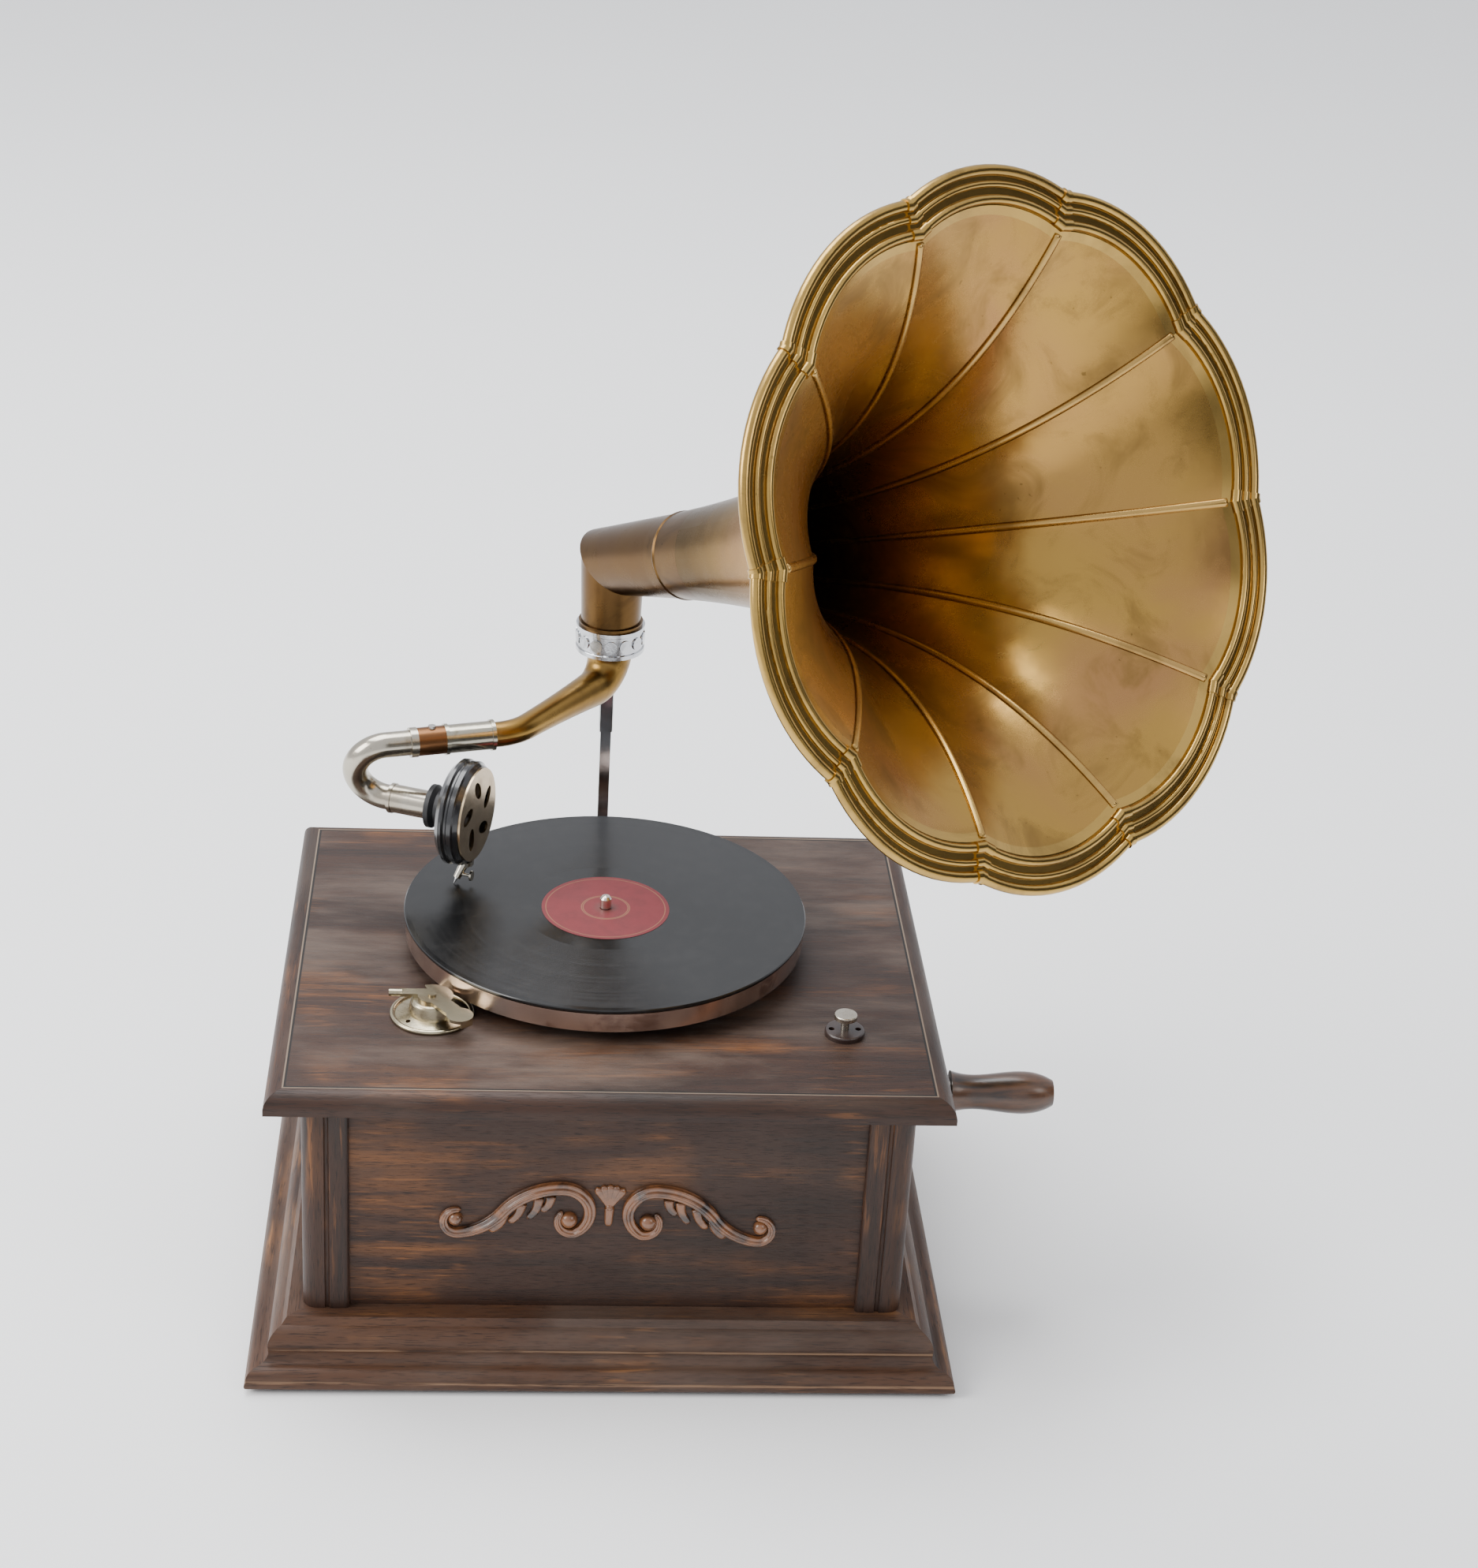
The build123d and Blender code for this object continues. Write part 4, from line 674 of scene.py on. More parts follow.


# Lighter copy of the oak colours for the plinth: painted light, making up for the less light that
# reaches its front mouldings.
PLINTH_OAK_LIGHTENED = ((0.022, 0.0115, 0.0078), (0.070, 0.032, 0.017), (0.24, 0.105, 0.036))
PANEL_OAK = StainedOak("oak_panel", Grain.ALONG_X, dust=0.10)
SIDE_OAK = StainedOak("oak_side", Grain.ALONG_Y, dust=0.10)
POST_OAK = StainedOak("oak_post", Grain.UPRIGHT, dust=0.12)
CARVED_WOOD = TurnedWood(
    "carved_wood", (0.020, 0.0085, 0.0045), (0.200, 0.075, 0.024), 0.8, 60.0, 60.0
)
HANDLE_WOOD = TurnedWood("handle_wood")

RING_CHROME = Plating("ring_chrome", (0.60, 0.61, 0.63), (0.14, 0.14, 0.13), 0.6, 0.12)
SCREW_STEEL = Plating("screw_steel", (0.50, 0.49, 0.47), (0.22, 0.17, 0.12), 0.5, 0.30)
MOTOR_STEEL = Plating("motor_steel", (0.42, 0.42, 0.42), (0.20, 0.15, 0.10), 0.4, 0.36)
WORN_NICKEL = Plating("worn_nickel", (0.42, 0.37, 0.26), (0.22, 0.155, 0.08), 0.6, 0.20)
SLEEVE_NICKEL = Plating("sleeve_nickel", (0.44, 0.41, 0.33), (0.22, 0.17, 0.10), 0.55, 0.16)
NECK_NICKEL = Plating("neck_nickel", (0.46, 0.42, 0.345), (0.26, 0.21, 0.15), 0.45, 0.18)
FACE_GILT = Plating("face_plate_gilt", (0.50, 0.38, 0.24), (0.26, 0.17, 0.09), 0.6, 0.18)
BRIGHT_NICKEL = Plating("bright_nickel", (0.50, 0.46, 0.38), (0.30, 0.25, 0.17), 0.3, 0.16)
NEEDLE_STEEL = Plating("needle_steel", (0.60, 0.60, 0.60), (0.40, 0.38, 0.35), 0.2, 0.2)
# The warm brown in the platter's colours is a painted reflection of the wood round it.
PLATTER_METAL = Plating("platter_metal", (0.60, 0.48, 0.42), (0.22, 0.13, 0.10), 0.7, 0.18)
SPINDLE_NICKEL = Plating("spindle_nickel", (0.66, 0.62, 0.55), (0.40, 0.33, 0.24), 0.3, 0.2)
KNOB_NICKEL = Plating("knob_nickel", (0.50, 0.46, 0.39), (0.28, 0.22, 0.15), 0.4, 0.22)
CRANK_STEEL = Plating("crank_steel", (0.34, 0.32, 0.30), (0.16, 0.11, 0.08), 0.5, 0.30)

RIM_BRASS = OldBrass(
    "rim_brass", (0.50, 0.32, 0.09), (0.25, 0.155, 0.048), (0.40, 0.25, 0.075), 0.17, 0.0008
)
SEAM_BRASS = OldBrass(
    "seam_brass", (0.52, 0.33, 0.10), (0.26, 0.155, 0.050), (0.42, 0.25, 0.09), 0.20, 0.0006
)
ELBOW_BRASS = OldBrass(
    "elbow_brass", (0.125, 0.070, 0.024), (0.050, 0.028, 0.012), (0.095, 0.050, 0.020), 0.22, 0.0010
)
ARM_BRASS = OldBrass(
    "arm_brass", (0.320, 0.190, 0.050), (0.150, 0.088, 0.028), (0.250, 0.140, 0.040), 0.24, 0.0006
)
COLLAR_COPPER = OldBrass(
    "collar_copper", (0.21, 0.095, 0.040), (0.10, 0.045, 0.022), (0.16, 0.075, 0.035), 0.26, 0.0004
)

BROWN_BASE = Moulded("brown_base", (0.020, 0.009, 0.007), (0.06, 0.04, 0.03), 0.32, 0.3)
BLACK_RUBBER = Moulded("black_rubber", (0.012, 0.012, 0.013), (0.04, 0.038, 0.036), 0.42)
BLACK_ENAMEL = Moulded("black_enamel", (0.010, 0.010, 0.011), (0.03, 0.03, 0.03), 0.14, 0.5)
FELT = Moulded(
    "platter_felt", (0.012, 0.013, 0.012), (0.05, 0.05, 0.045), 0.75, 0.0, 1800.0, 0.0002
)
MICA = ClearSheet("mica_sheet")
PALE_PAPER = Matt("pale_paper", (0.86, 0.86, 0.86), (0.90, 0.90, 0.90), 1.5, 0.75, 0.2)


def new_object(
    name: str, mesh: bmesh.types.BMesh, material: bpy.types.Material
) -> bpy.types.Object:
    """Puts a mesh into the scene as one object.

    Args:
        name: The object's name.
        mesh: Its mesh, which is used up.
        material: Its material.

    Returns:
        The object.
    """
    data = bpy.data.meshes.new(name)
    mesh.to_mesh(data)
    mesh.free()
    data.materials.append(material)
    made = bpy.data.objects.new(name, data)
    bpy.context.scene.collection.objects.link(made)
    return made


class Dresser:
    """Gives frame nodes their finishes and keeps one material for each."""

    def __init__(self) -> None:
        """Starts with no materials."""
        self.made: dict[str, bpy.types.Material] = {}

    def material(self, finish: Finish) -> bpy.types.Material:
        """Material of a finish, made once.

        Args:
            finish: The finish.

        Returns:
            The material.
        """
        if finish.name not in self.made:
            self.made[finish.name] = finish.material()
        return self.made[finish.name]

    def dress(self, finish: Finish, *nodes: str) -> None:
        """Gives nodes a finish.

        Args:
            finish: The finish.
            nodes: Names of frame nodes.
        """
        for name in nodes:
            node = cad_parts[name]
            if not node.material_slots:
                node.data.materials.append(None)
            for slot in node.material_slots:
                slot.material = self.material(finish)
            LOG.info("%s wears %s", name, finish.name)

    def piece(
        self, name: str, mesh: bmesh.types.BMesh, finish: Finish, body: str, slot: str
    ) -> bpy.types.Object:
        """Turns a mesh into a piece that rides on a body.

        Args:
            name: The piece's name.
            mesh: Its mesh, in the row frame.
            finish: Its finish.
            body: The body that it rides on.
            slot: Not used.

        Returns:
            The new object.
        """
        bmesh.ops.recalc_face_normals(mesh, faces=mesh.faces)
        made = new_object(name, mesh, self.material(finish))
        for face in made.data.polygons:
            face.use_smooth = True
        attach(made, body)
        LOG.info("%s rides on %s", name, body)
        return made


def skin(mesh: bmesh.types.BMesh, rings: list[list[bmesh.types.BMVert]]) -> None:
    """Joins rings of corners into a closed skin with a cap at each end.

    Args:
        mesh: The mesh that the corners are in.
        rings: The rings, in order, each with as many corners.
    """
    count = len(rings[0])
    for first, second in zip(rings, rings[1:]):
        for step in range(count):
            after = (step + 1) % count
            mesh.faces.new((first[step], first[after], second[after], second[step]))
    mesh.faces.new(rings[0][::-1])
    mesh.faces.new(rings[-1])


def tube(
    mesh: bmesh.types.BMesh, spots: list[Vector], radii: list[float], outline: list[float]
) -> None:
    """Adds a capped tube on the panel, whose outline can be fluted.

    Args:
        mesh: The mesh that it is added to.
        spots: Points of its centre line.
        radii: Its radius at each point.
        outline: Share of the radius at each step round it.
    """
    rings = []
    for index, spot in enumerate(spots):
        ahead = spots[min(index + 1, len(spots) - 1)] - spots[max(index - 1, 0)]
        side = ahead.normalized().cross(OUT_OF_PANEL).normalized()
        ring = []
        for step, share in enumerate(outline):
            turn = FULL_TURN * step / len(outline)
            reach = radii[index] * share
            raised = spot + OUT_OF_PANEL * (reach * math.cos(turn))
            ring.append(mesh.verts.new(raised + side * (reach * math.sin(turn))))
        rings.append(ring)
    skin(mesh, rings)


def arc(start: Place, middle: Place, end: Place, steps: int) -> list[Vector]:
    """Points of an arc through three points of a plane.

    Args:
        start: Its first point.
        middle: A point on the way.
        end: Its last point.
        steps: Number of steps.

    Returns:
        The points, without the first.
    """
    ax, ay, bx, by, cx, cy = *start, *middle, *end
    d = 2.0 * (ax * (by - cy) + bx * (cy - ay) + cx * (ay - by))
    a2, b2, c2 = ax * ax + ay * ay, bx * bx + by * by, cx * cx + cy * cy
    ox = (a2 * (by - cy) + b2 * (cy - ay) + c2 * (ay - by)) / d
    oy = (a2 * (cx - bx) + b2 * (ax - cx) + c2 * (bx - ax)) / d
    radius = math.hypot(ax - ox, ay - oy)
    first, half, last = (math.atan2(py - oy, px - ox) for px, py in (start, middle, end))
    turn = (last - first) % FULL_TURN
    if (half - first) % FULL_TURN > turn:
        turn -= FULL_TURN
    angles = [first + turn * (i + 1) / steps for i in range(steps)]
    return [Vector((ox + radius * math.cos(a), oy + radius * math.sin(a), 0.0)) for a in angles]


@dataclass
class Carving:
    """Scrolls and palmette on the front panel.

    The drawing is in millimetres. The centre and the stems' radii are in metres.
    """

    dresser: Dresser
    centre: Vector = field(default_factory=lambda: Vector((0.001, -0.146, 0.103)))
    tilt: float = 1.4
    stem_radius: float = 0.0043
    tip_radius: float = 0.0014
    stem_end_share: float = 0.4
    stem_fullness: float = 0.7
    stem_steps: int = 42
    stem_height: float = 1.0
    flutes: int = 6
    flute_depth: float = 0.30
    legs: tuple[tuple[Place, Place, Place, int], ...] = (
        ((-87.6, 3.6), (-97.6, -3.2), (-87.5, -12.2), 18),
        ((-87.5, -12.2), (-74.0, -7.0), (-62.0, 4.5), 16),
        ((-62.0, 4.5), (-46.5, 17.0), (-28.0, 21.4), 18),
        ((-28.0, 21.4), (-11.4, 6.4), (-20.2, -10.2), 26),
        ((-20.2, -10.2), (-30.0, -4.0), (-27.4, 4.6), 16),
    )
    eyes: tuple[Spot, ...] = ((-90.6, -2.6, 4.4), (-23.5, -1.0, 5.2))
    eye_height: float = 0.6
    eye_steps: tuple[int, int] = (28, 16)
    leaves: tuple[tuple[Place, Place], ...] = (
        ((-62.0, 1.5), (-70.5, -11.0)),
        ((-52.0, 9.0), (-59.5, -4.5)),
        ((-42.0, 13.5), (-48.5, -1.5)),
        ((-35.0, 15.0), (-40.8, 4.5)),
    )
    leaf_radii: Place = (3.2, 2.1)
    leaf_bow: float = 2.0
    leaf_height: float = 0.4
    leaf_steps: int = 12
    leaf_outline_steps: int = 24
    leaf_groove: float = 0.22
    leaf_round_from: float = 0.8
    leaf_round_length: float = 0.2
    leaf_end_least: float = 0.02
    palm_leans: tuple[float, ...] = (-32.0, -16.0, 0.0, 16.0, 32.0)
    palm_root: Place = (0.0, 8.0)
    palm_rise: float = 9.0
    palm_reach: float = 15.5
    palm_radii: Place = (1.2, 2.9)
    drop_tip: Place = (0.0, -5.0)
    drop_radii: Place = (3.0, 2.2)
    palm_eye: Spot = (0.0, 8.2, 0.2)
    palm_eye_radius: float = 2.6

    def to_panel(self, spot: Vector) -> Vector:
        """Place on the panel of a point of the drawing."""
        turn = math.radians(-self.tilt)
        x = spot.x * math.cos(turn) - spot.y * math.sin(turn)
        z = spot.x * math.sin(turn) + spot.y * math.cos(turn)
        place = (x / MM_PER_METRE, -spot.z / MM_PER_METRE, z / MM_PER_METRE)
        return self.centre + Vector(place)

    def outline(self) -> list[float]:
        """Fluted outline of a stem."""
        turns = [self.flutes * FULL_TURN * i / self.stem_steps for i in range(self.stem_steps)]
        return [1.0 - self.flute_depth * (0.5 - 0.5 * math.cos(turn)) ** 2 for turn in turns]

    def leaf_outline(self) -> list[float]:
        """Outline of a leaf, with a groove along its front."""
        turns = [FULL_TURN * i / self.leaf_outline_steps for i in range(self.leaf_outline_steps)]
        return [1.0 - self.leaf_groove * max(0.0, math.cos(turn)) ** 6 for turn in turns]

    def scroll(self, mesh: bmesh.types.BMesh, mirror: float) -> None:
        """Adds one S scroll with its eyes and leaves.

        Args:
            mesh: The carving's mesh.
            mirror: 1 for the left side, -1 for the right.
        """
        line = [Vector((*self.legs[0][0], 0.0))]
        for start, middle, end, steps in self.legs:
            line += arc(start, middle, end, steps)
        count = len(line) - 1
        swell = self.stem_radius - self.tip_radius
        radii = [
            self.tip_radius + swell * math.sin(math.pi * i / count) ** self.stem_fullness
            for i in range(count + 1)
        ]
        radii[0] = radii[-1] = self.tip_radius * self.stem_end_share
        spots = [self.to_panel(Vector((p.x * mirror, p.y, self.stem_height))) for p in line]
        tube(mesh, spots, radii, self.outline())
        for x, y, radius in self.eyes:
            self.knob(mesh, Vector((x * mirror, y, self.eye_height)), radius)
        for root, tip in self.leaves:
            root, tip = (root[0] * mirror, root[1]), (tip[0] * mirror, tip[1])
            self.leaf(mesh, root, tip, self.leaf_radii, self.leaf_bow * mirror)

    def knob(self, mesh: bmesh.types.BMesh, spot: Vector, radius: float) -> None:
        """Adds a round eye of a scroll.

        Args:
            mesh: The carving's mesh.
            spot: Its centre in the drawing.
            radius: Its radius in millimetres.
        """
        round_it, up_it = self.eye_steps
        bmesh.ops.create_uvsphere(
            mesh,
            u_segments=round_it,
            v_segments=up_it,
            radius=radius / MM_PER_METRE,
            matrix=Matrix.Translation(self.to_panel(spot)),
        )

    def leaf(
        self, mesh: bmesh.types.BMesh, root: Place, tip: Place, ends: Place, bow: float
    ) -> None:
        """Adds one rounded lobe with a groove along it.

        Args:
            mesh: The carving's mesh.
            root: Where it starts in the drawing.
            tip: Where it ends.
            ends: Its radii at the root and at the tip.
            bow: How far its middle is bent aside.
        """
        first, last = Vector((*root, self.leaf_height)), Vector((*tip, self.leaf_height))
        side = Vector((-(last - first).y, (last - first).x, 0.0)).normalized()
        wide, narrow = ends
        spots, radii = [], []
        for i in range(self.leaf_steps + 1):
            share = i / self.leaf_steps
            bent = side * (bow * math.sin(math.pi * share))
            spots.append(self.to_panel(first.lerp(last, share) + bent))
            past = max(0.0, (share - self.leaf_round_from) / self.leaf_round_length)
            round_end = math.sqrt(max(self.leaf_end_least, 1.0 - past ** 2))
            radii.append((wide + (narrow - wide) * share) * round_end / MM_PER_METRE)
        tube(mesh, spots, radii, self.leaf_outline())

    def palmette(self, mesh: bmesh.types.BMesh) -> None:
        """Adds the fan of leaves, its drop and its eye.

        Args:
            mesh: The carving's mesh.
        """
        for degrees in self.palm_leans:
            lean = math.radians(degrees)
            across, up = self.palm_reach * math.sin(lean), self.palm_reach * math.cos(lean)
            self.leaf(mesh, self.palm_root, (across, self.palm_rise + up), self.palm_radii, 0.0)
        self.leaf(mesh, self.palm_root, self.drop_tip, self.drop_radii, 0.0)
        self.knob(mesh, Vector(self.palm_eye), self.palm_eye_radius)

    def build(self) -> None:
        """Builds the carving and lets it stand for the plain one."""
        mesh = bmesh.new()
        self.scroll(mesh, 1.0)
        self.scroll(mesh, -1.0)
        self.palmette(mesh)
        made = self.dresser.piece("carved_scrolls", mesh, CARVED_WOOD, "cabinet", "carving")
        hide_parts("front_ornament")


@dataclass
class Cabinet:
    """Oak case with its mouldings, motor, bracket and controls' bases."""

    dresser: Dresser
    lid_joint: Place = (0.1875, 0.158)
    bead_top: float = 0.008
    ogee_top: float = 0.0226
    plinth_dust: float = 0.45
    edge_dust: float = 0.25
    top_dust: float = 0.75

    def woodwork(self) -> None:
        """Dresses the mouldings, boards, panels and posts."""
        dress = self.dresser.dress
        # The lighter lines at the bead and ogee tops are partly painted highlight.
        soiled = {"dust": self.plinth_dust, "rub_and_highlight_heights": (self.bead_top, self.ogee_top)}
        # The plinth wears the lighter copy of the oak colours, which is painted light.
        dress(StainedOak("oak_plinth", Grain.MITRED, *PLINTH_OAK_LIGHTENED, **soiled), "plinth_moulding")
        edge = {"dust": self.edge_dust, "joint": self.lid_joint}
        dress(StainedOak("oak_lid_edge", Grain.MITRED, **edge), "lid_moulding")
        top = {"dust": self.top_dust, "joint": self.lid_joint}
        dress(StainedOak("oak_top", Grain.ALONG_X, **top), "top_board")
        dress(PANEL_OAK, "front_panel", "back_panel", "bottom_board")
        dress(SIDE_OAK, "left_panel", "right_panel")
        dress(POST_OAK, "corner_posts")

    def build(self) -> None:
        """Dresses the case and adds the carving."""
        self.woodwork()
        dress = self.dresser.dress
        dress(RING_CHROME, "horn_bracket")
        dress(SCREW_STEEL, "bracket_screws", "motor_screws")
        dress(MOTOR_STEEL, "motor_plate", "motor_case", "spring_barrel")
        dress(WORN_NICKEL, "brake_base", "crank_escutcheon")
        dress(BROWN_BASE, "speed_base")
        Carving(self.dresser).build()


@dataclass
class Horn:
    """Petals, rim, seams and elbow of the brass horn.

    The elbow's place is in metres, and the other sizes are in millimetres.
    """

    dresser: Dresser
    petals: int = 10
    elbow: Vector = field(default_factory=lambda: Vector((0.0, 0.172, 0.3933)))
    yaw: float = 37.5
    pitch: float = 21.4
    seam_phase: float = 12.3
    throat_radius: float = 22.2
    taper: float = 0.031
    flare: float = 2.0
    flare_length: float = 88.8
    petal_from: float = 104.0
    petal_to: float = 374.0
    wall: float = 1.2
    over_bead: tuple[Place, ...] = ((1.2, 2.0), (2.0, 3.6))
    seam_steps: int = 60
    seam_spacing: float = 0.7
    seam_half_width: float = 2.3
    seam_start_share: float = 0.45
    seam_full_step: float = 24.0
    seam_height: float = 1.5
    seam_outline: tuple[Place, ...] = (
        (-1.15, -0.4),
        (-1.0, 0.35),
        (-0.72, 0.5),
        (-0.6, 0.85),
        (0.0, 1.0),
        (0.6, 0.85),
        (1.0, 0.3),
        (1.1, -0.4),
    )

    def radius(self, station: float) -> float:
        """Radius at a seam at a distance along the axis."""
        flared = self.flare * (math.exp(station / self.flare_length) - 1.0)
        return self.throat_radius + self.taper * station + flared

    def seam_path(self) -> list[Place]:
        """Stations and radii of a seam, up to the bead of the rim."""
        span = self.petal_to - self.petal_from
        path = []
        for i in range(self.seam_steps + 1):
            station = self.petal_from + span * (i / self.seam_steps) ** self.seam_spacing
            growth = self.flare / self.flare_length * math.exp(station / self.flare_length)
            slope = self.taper + growth
            skin_depth = self.wall * math.sqrt(1.0 + slope * slope)
            path.append((station, self.radius(station) - skin_depth))
        last = path[-1][1]
        return path + [(self.petal_to + on, last + out) for on, out in self.over_bead]

    def axes(self) -> tuple[Vector, Vector, Vector]:
        """Directions along the horn, up across it and to its side."""
        yaw, pitch = math.radians(self.yaw), math.radians(self.pitch)
        level = math.cos(pitch)
        ahead = Vector((math.sin(yaw) * level, -math.cos(yaw) * level, math.sin(pitch)))
        up = (SKYWARD - ahead * ahead.z).normalized()
        return ahead, up, ahead.cross(up)

    def seam(self, mesh: bmesh.types.BMesh, turn: float) -> None:
        """Adds one folded seam.

        Args:
            mesh: The seams' mesh.
            turn: Its angle round the axis, from the top.
        """
        ahead, up, side = self.axes()
        out = up * math.cos(turn) + side * math.sin(turn)
        across = side * math.cos(turn) - up * math.sin(turn)
        path = self.seam_path()
        rings = []
        for index, (station, reach) in enumerate(path):
            near, far = path[max(index - 1, 0)], path[min(index + 1, len(path) - 1)]
            along = (ahead * (far[0] - near[0]) + out * (far[1] - near[1])).normalized()
            lift = across.cross(along)
            lift = lift if lift.dot(out) < 0.0 else -lift
            grown = (1.0 - self.seam_start_share) * min(1.0, index / self.seam_full_step)
            width = self.seam_half_width * (self.seam_start_share + grown)
            middle = ahead * station + out * reach
            ring = [
                middle + across * (a * width) + lift * (h * self.seam_height)
                for a, h in self.seam_outline
            ]
            rings.append([mesh.verts.new(self.elbow + spot / MM_PER_METRE) for spot in ring])
        skin(mesh, rings)

    def seams(self) -> None:
        """Adds the folded seams, which reach from the throat to the rim."""
        mesh = bmesh.new()
        for number in range(self.petals):
            self.seam(mesh, math.radians(self.seam_phase + 360.0 * number / self.petals))
        made = self.dresser.piece("folded_seams", mesh, SEAM_BRASS, "horn", "brass")
        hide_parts("horn_seams")

    def build(self) -> None:
        """Dresses the horn and adds its seams."""
        dress = self.dresser.dress
        names = [f"horn_petal_{number:02d}" for number in range(1, self.petals + 1)]
        dress(OldBrass("petal_brass", darkened_round=tuple(self.elbow)), *names)
        dress(RIM_BRASS, "horn_rim", "rim_clips")
        self.seams()
        dress(ELBOW_BRASS, "horn_elbow", "horn_throat")


@dataclass
class ToneArm:
    """Brass arm, nickel sleeve and copper collar."""

    dresser: Dresser

    def build(self) -> None:
        """Dresses the arm."""
        dress = self.dresser.dress
        dress(ARM_BRASS, "tone_arm_tube")
        dress(SLEEVE_NICKEL, "arm_sleeve")
        dress(COLLAR_COPPER, "swivel_collar")
        dress(SCREW_STEEL, "collar_screw")


@dataclass
class Soundbox:
    """Gooseneck, soundbox, stylus and needle."""

    dresser: Dresser

    def build(self) -> None:
        """Dresses the soundbox and what carries it."""
        dress = self.dresser.dress
        dress(NECK_NICKEL, "gooseneck_tube", "gooseneck_sleeve")
        dress(BLACK_RUBBER, "rubber_flange")
        dress(BLACK_ENAMEL, "soundbox_shell")
        dress(FACE_GILT, "face_plate")
        dress(MICA, "diaphragm")
        dress(BRIGHT_NICKEL, "stylus_bar", "needle_screw")
        dress(NEEDLE_STEEL, "needle")


@dataclass
class Turntable:
    """Platter, felt, record, label and spindle."""

    dresser: Dresser
    centre: Place = (-0.002, 0.016)

    def build(self) -> None:
        """Dresses the turntable."""
        dress = self.dresser.dress
        dress(PLATTER_METAL, "platter")
        dress(FELT, "platter_felt")
        dress(Shellac("black_shellac", self.centre), "record")
        dress(PaperLabel("red_label", self.centre), "record_label")
        dress(SPINDLE_NICKEL, "spindle")


@dataclass
class Controls:
    """Brake lever, speed knob, crank and its handle."""

    dresser: Dresser

    def build(self) -> None:
        """Dresses the controls."""
        dress = self.dresser.dress
        dress(WORN_NICKEL, "brake_lever")
        dress(KNOB_NICKEL, "speed_knob")
        dress(CRANK_STEEL, "winding_shaft", "ratchet_wheel", "crank_arm")
        dress(HANDLE_WOOD, "crank_handle")


def facing(spot: Spot, aim: Spot) -> Matrix:
    """Place at a spot, turned towards an aim."""
    way = Vector(aim) - Vector(spot)
    return Matrix.Translation(spot) @ way.to_track_quat("-Z", "Y").to_matrix().to_4x4()


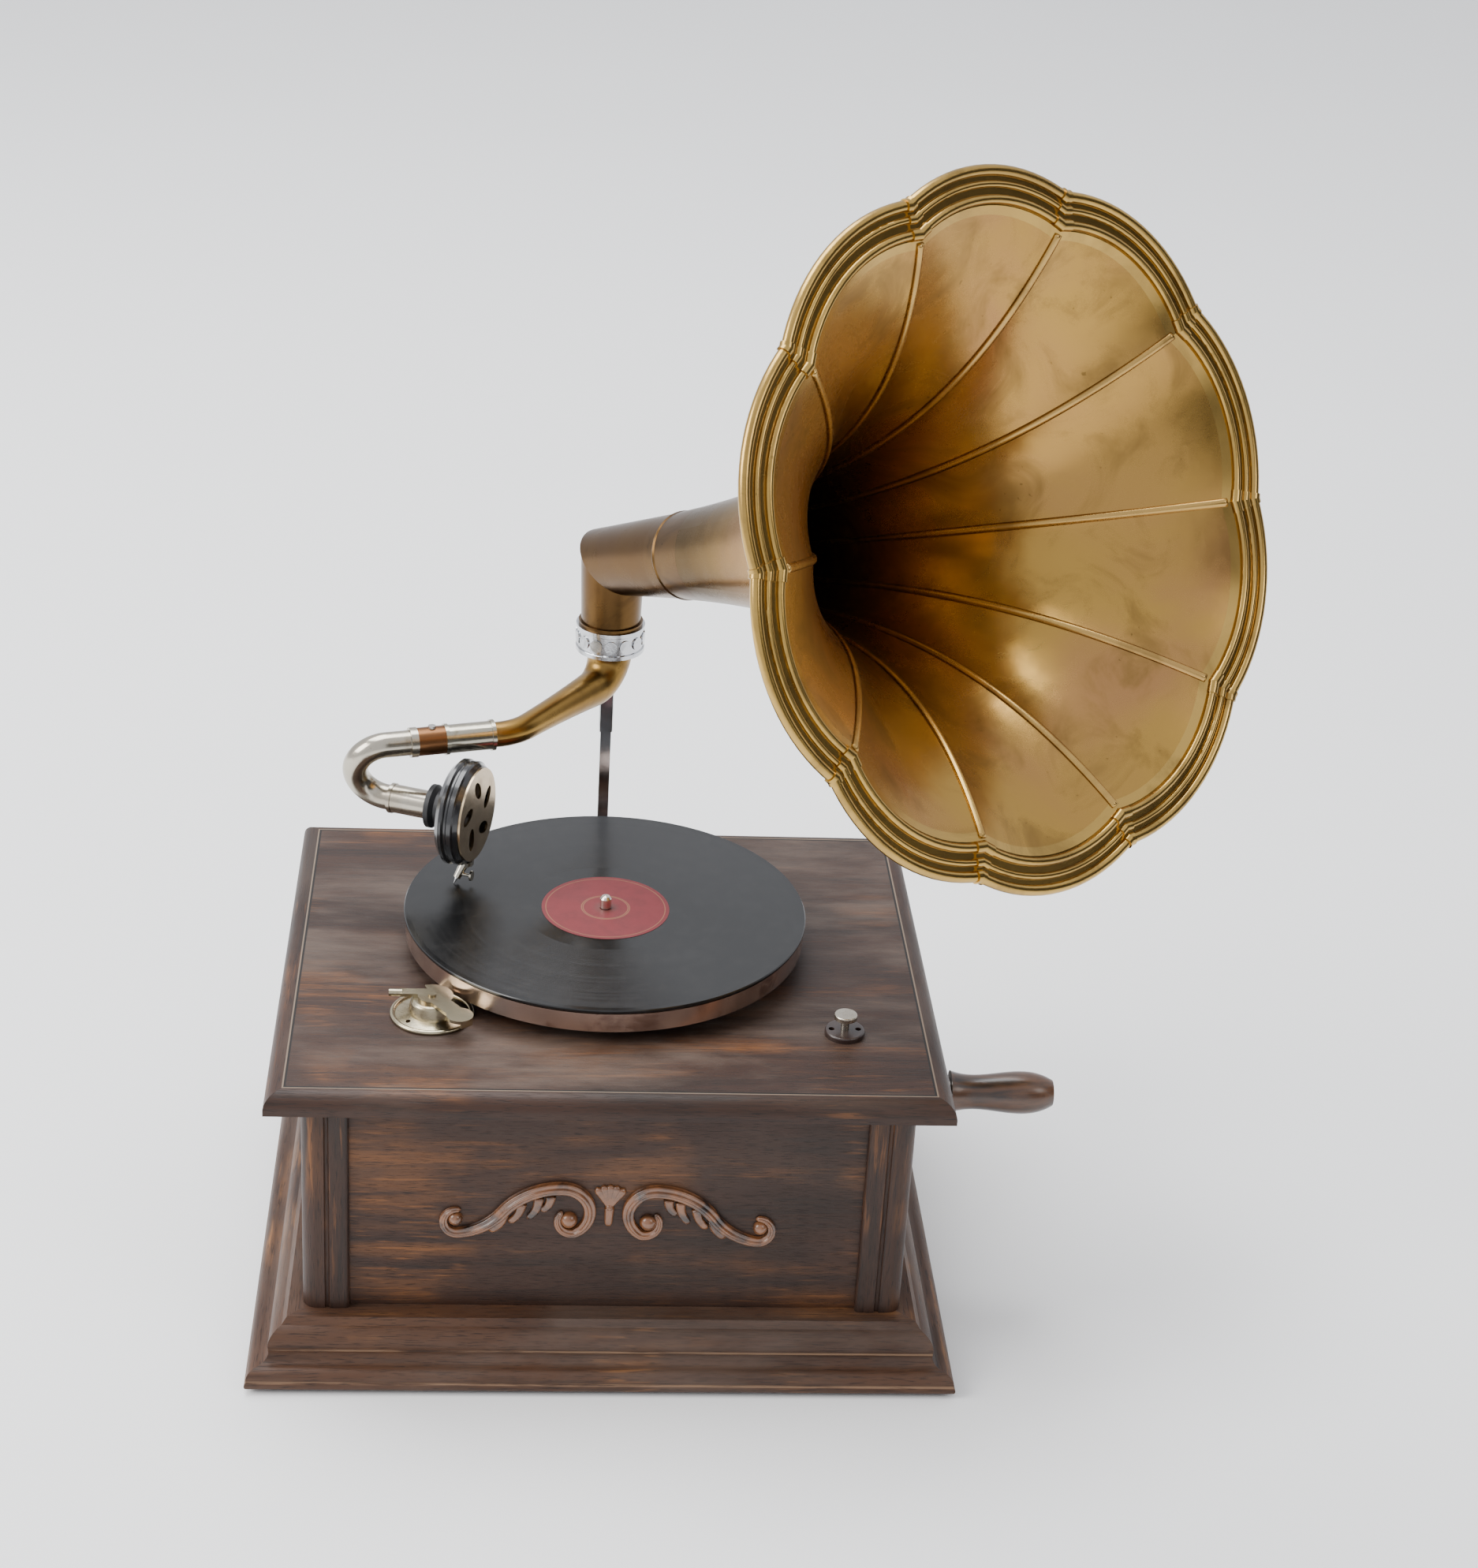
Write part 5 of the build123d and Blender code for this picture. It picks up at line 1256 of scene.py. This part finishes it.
@dataclass
class Studio:
    """Pale floor, soft lights and the photograph's camera."""

    azimuth: float = 4.803
    elevation: float = 26.524
    roll: float = 3.405
    eye: Spot = (-0.06197, -1.63544, 1.13941)
    focal_pixels: float = 3834.18
    frame_width: int = 1874
    sensor: float = 36.0
    view_depth: float = 60.0
    floor_half: float = 14.0
    card_half: float = 1.6
    card_aim: Spot = (0.0, 0.0, 0.4)
    room_tint: Colour = (0.93, 0.95, 1.0)
    room_strength: float = 1.15

    def camera(self) -> None:
        """Places the camera."""
        a, e, r = (math.radians(v) for v in (self.azimuth, self.elevation, self.roll))
        ahead = Vector((math.sin(a) * math.cos(e), math.cos(a) * math.cos(e), -math.sin(e)))
        right = ahead.cross(SKYWARD).normalized()
        up = right.cross(ahead)
        across = right * math.cos(r) + up * math.sin(r)
        upward = up * math.cos(r) - right * math.sin(r)
        data = bpy.data.cameras.new("photo_camera")
        data.sensor_fit = "HORIZONTAL"
        data.sensor_width = self.sensor
        data.lens = self.sensor * self.focal_pixels / self.frame_width
        data.clip_end = self.view_depth
        made = bpy.data.objects.new("photo_camera", data)
        turned = Matrix((across, upward, -ahead)).transposed().to_4x4()
        made.matrix_world = Matrix.Translation(self.eye) @ turned
        bpy.context.scene.collection.objects.link(made)
        bpy.context.scene.camera = made

    def lamp(
        self, name: str, spot: Spot, aim: Spot, size: float, power: float, tint: Colour
    ) -> None:
        """Adds one soft box.

        Args:
            name: Its name.
            spot: Where it stands.
            aim: Where it points.
            size: Length of its side.
            power: Its power in watts.
            tint: Its colour.
        """
        data = bpy.data.lights.new(name, "AREA")
        data.size = size
        data.energy = power
        data.color = tint
        made = bpy.data.objects.new(name, data)
        made.matrix_world = facing(spot, aim)
        bpy.context.scene.collection.objects.link(made)

    def floor(self) -> None:
        """Adds the pale floor."""
        mesh = bmesh.new()
        bmesh.ops.create_grid(mesh, x_segments=4, y_segments=4, size=self.floor_half)
        new_object("studio_floor", mesh, PALE_PAPER.material())

    def card(self, name: str, spot: Spot) -> None:
        """Adds a dark card that only the metal mirrors, hidden from the camera.

        Args:
            name: Its name.
            spot: Where it stands.
        """
        mesh = bmesh.new()
        place = facing(spot, self.card_aim)
        size = self.card_half
        bmesh.ops.create_grid(mesh, x_segments=2, y_segments=2, size=size, matrix=place)
        cloth = Matt(name, (0.02, 0.02, 0.02), (0.04, 0.038, 0.036), 4.0, 0.9)
        made = new_object(name, mesh, cloth.material())
        made.visible_camera = False

    def world(self) -> None:
        """Lights the room evenly from all round."""
        world = bpy.data.worlds.new("pale_room")
        world.use_nodes = True
        back = world.node_tree.nodes["Background"]
        back.inputs["Color"].default_value = (*self.room_tint, 1.0)
        back.inputs["Strength"].default_value = self.room_strength
        bpy.context.scene.world = world

    def build(self) -> None:
        """Sets up the studio."""
        self.camera()
        self.floor()
        self.world()
        key, top, fill = (-2.8, -0.7, 2.2), (-0.6, 0.9, 3.4), (2.6, -2.2, 2.4)
        warm, cool, soft = (1.0, 0.985, 0.96), (0.97, 0.985, 1.0), (1.0, 0.98, 0.95)
        self.lamp("key_box", key, (0.0, 0.0, 0.35), size=2.0, power=120.0, tint=warm)
        self.lamp("top_box", top, (0.0, 0.0, 0.2), size=2.4, power=150.0, tint=cool)
        self.lamp("fill_box", fill, (0.0, 0.0, 0.4), size=1.2, power=24.0, tint=soft)
        self.card("dark_card_front", (3.0, -3.6, 1.6))
        self.card("dark_card_right", (4.8, -0.6, 1.6))


def main() -> None:
    """Builds each assembly in order and sets up the studio."""
    logging.basicConfig(level=logging.INFO, format="%(name)s: %(message)s")
    dresser = Dresser()
    for part in (Cabinet, Horn, ToneArm, Soundbox, Turntable, Controls):
        part(dresser).build()
        LOG.info("%s is built", part.__name__)
    Studio().build()


if __name__ == "__main__":
    main()
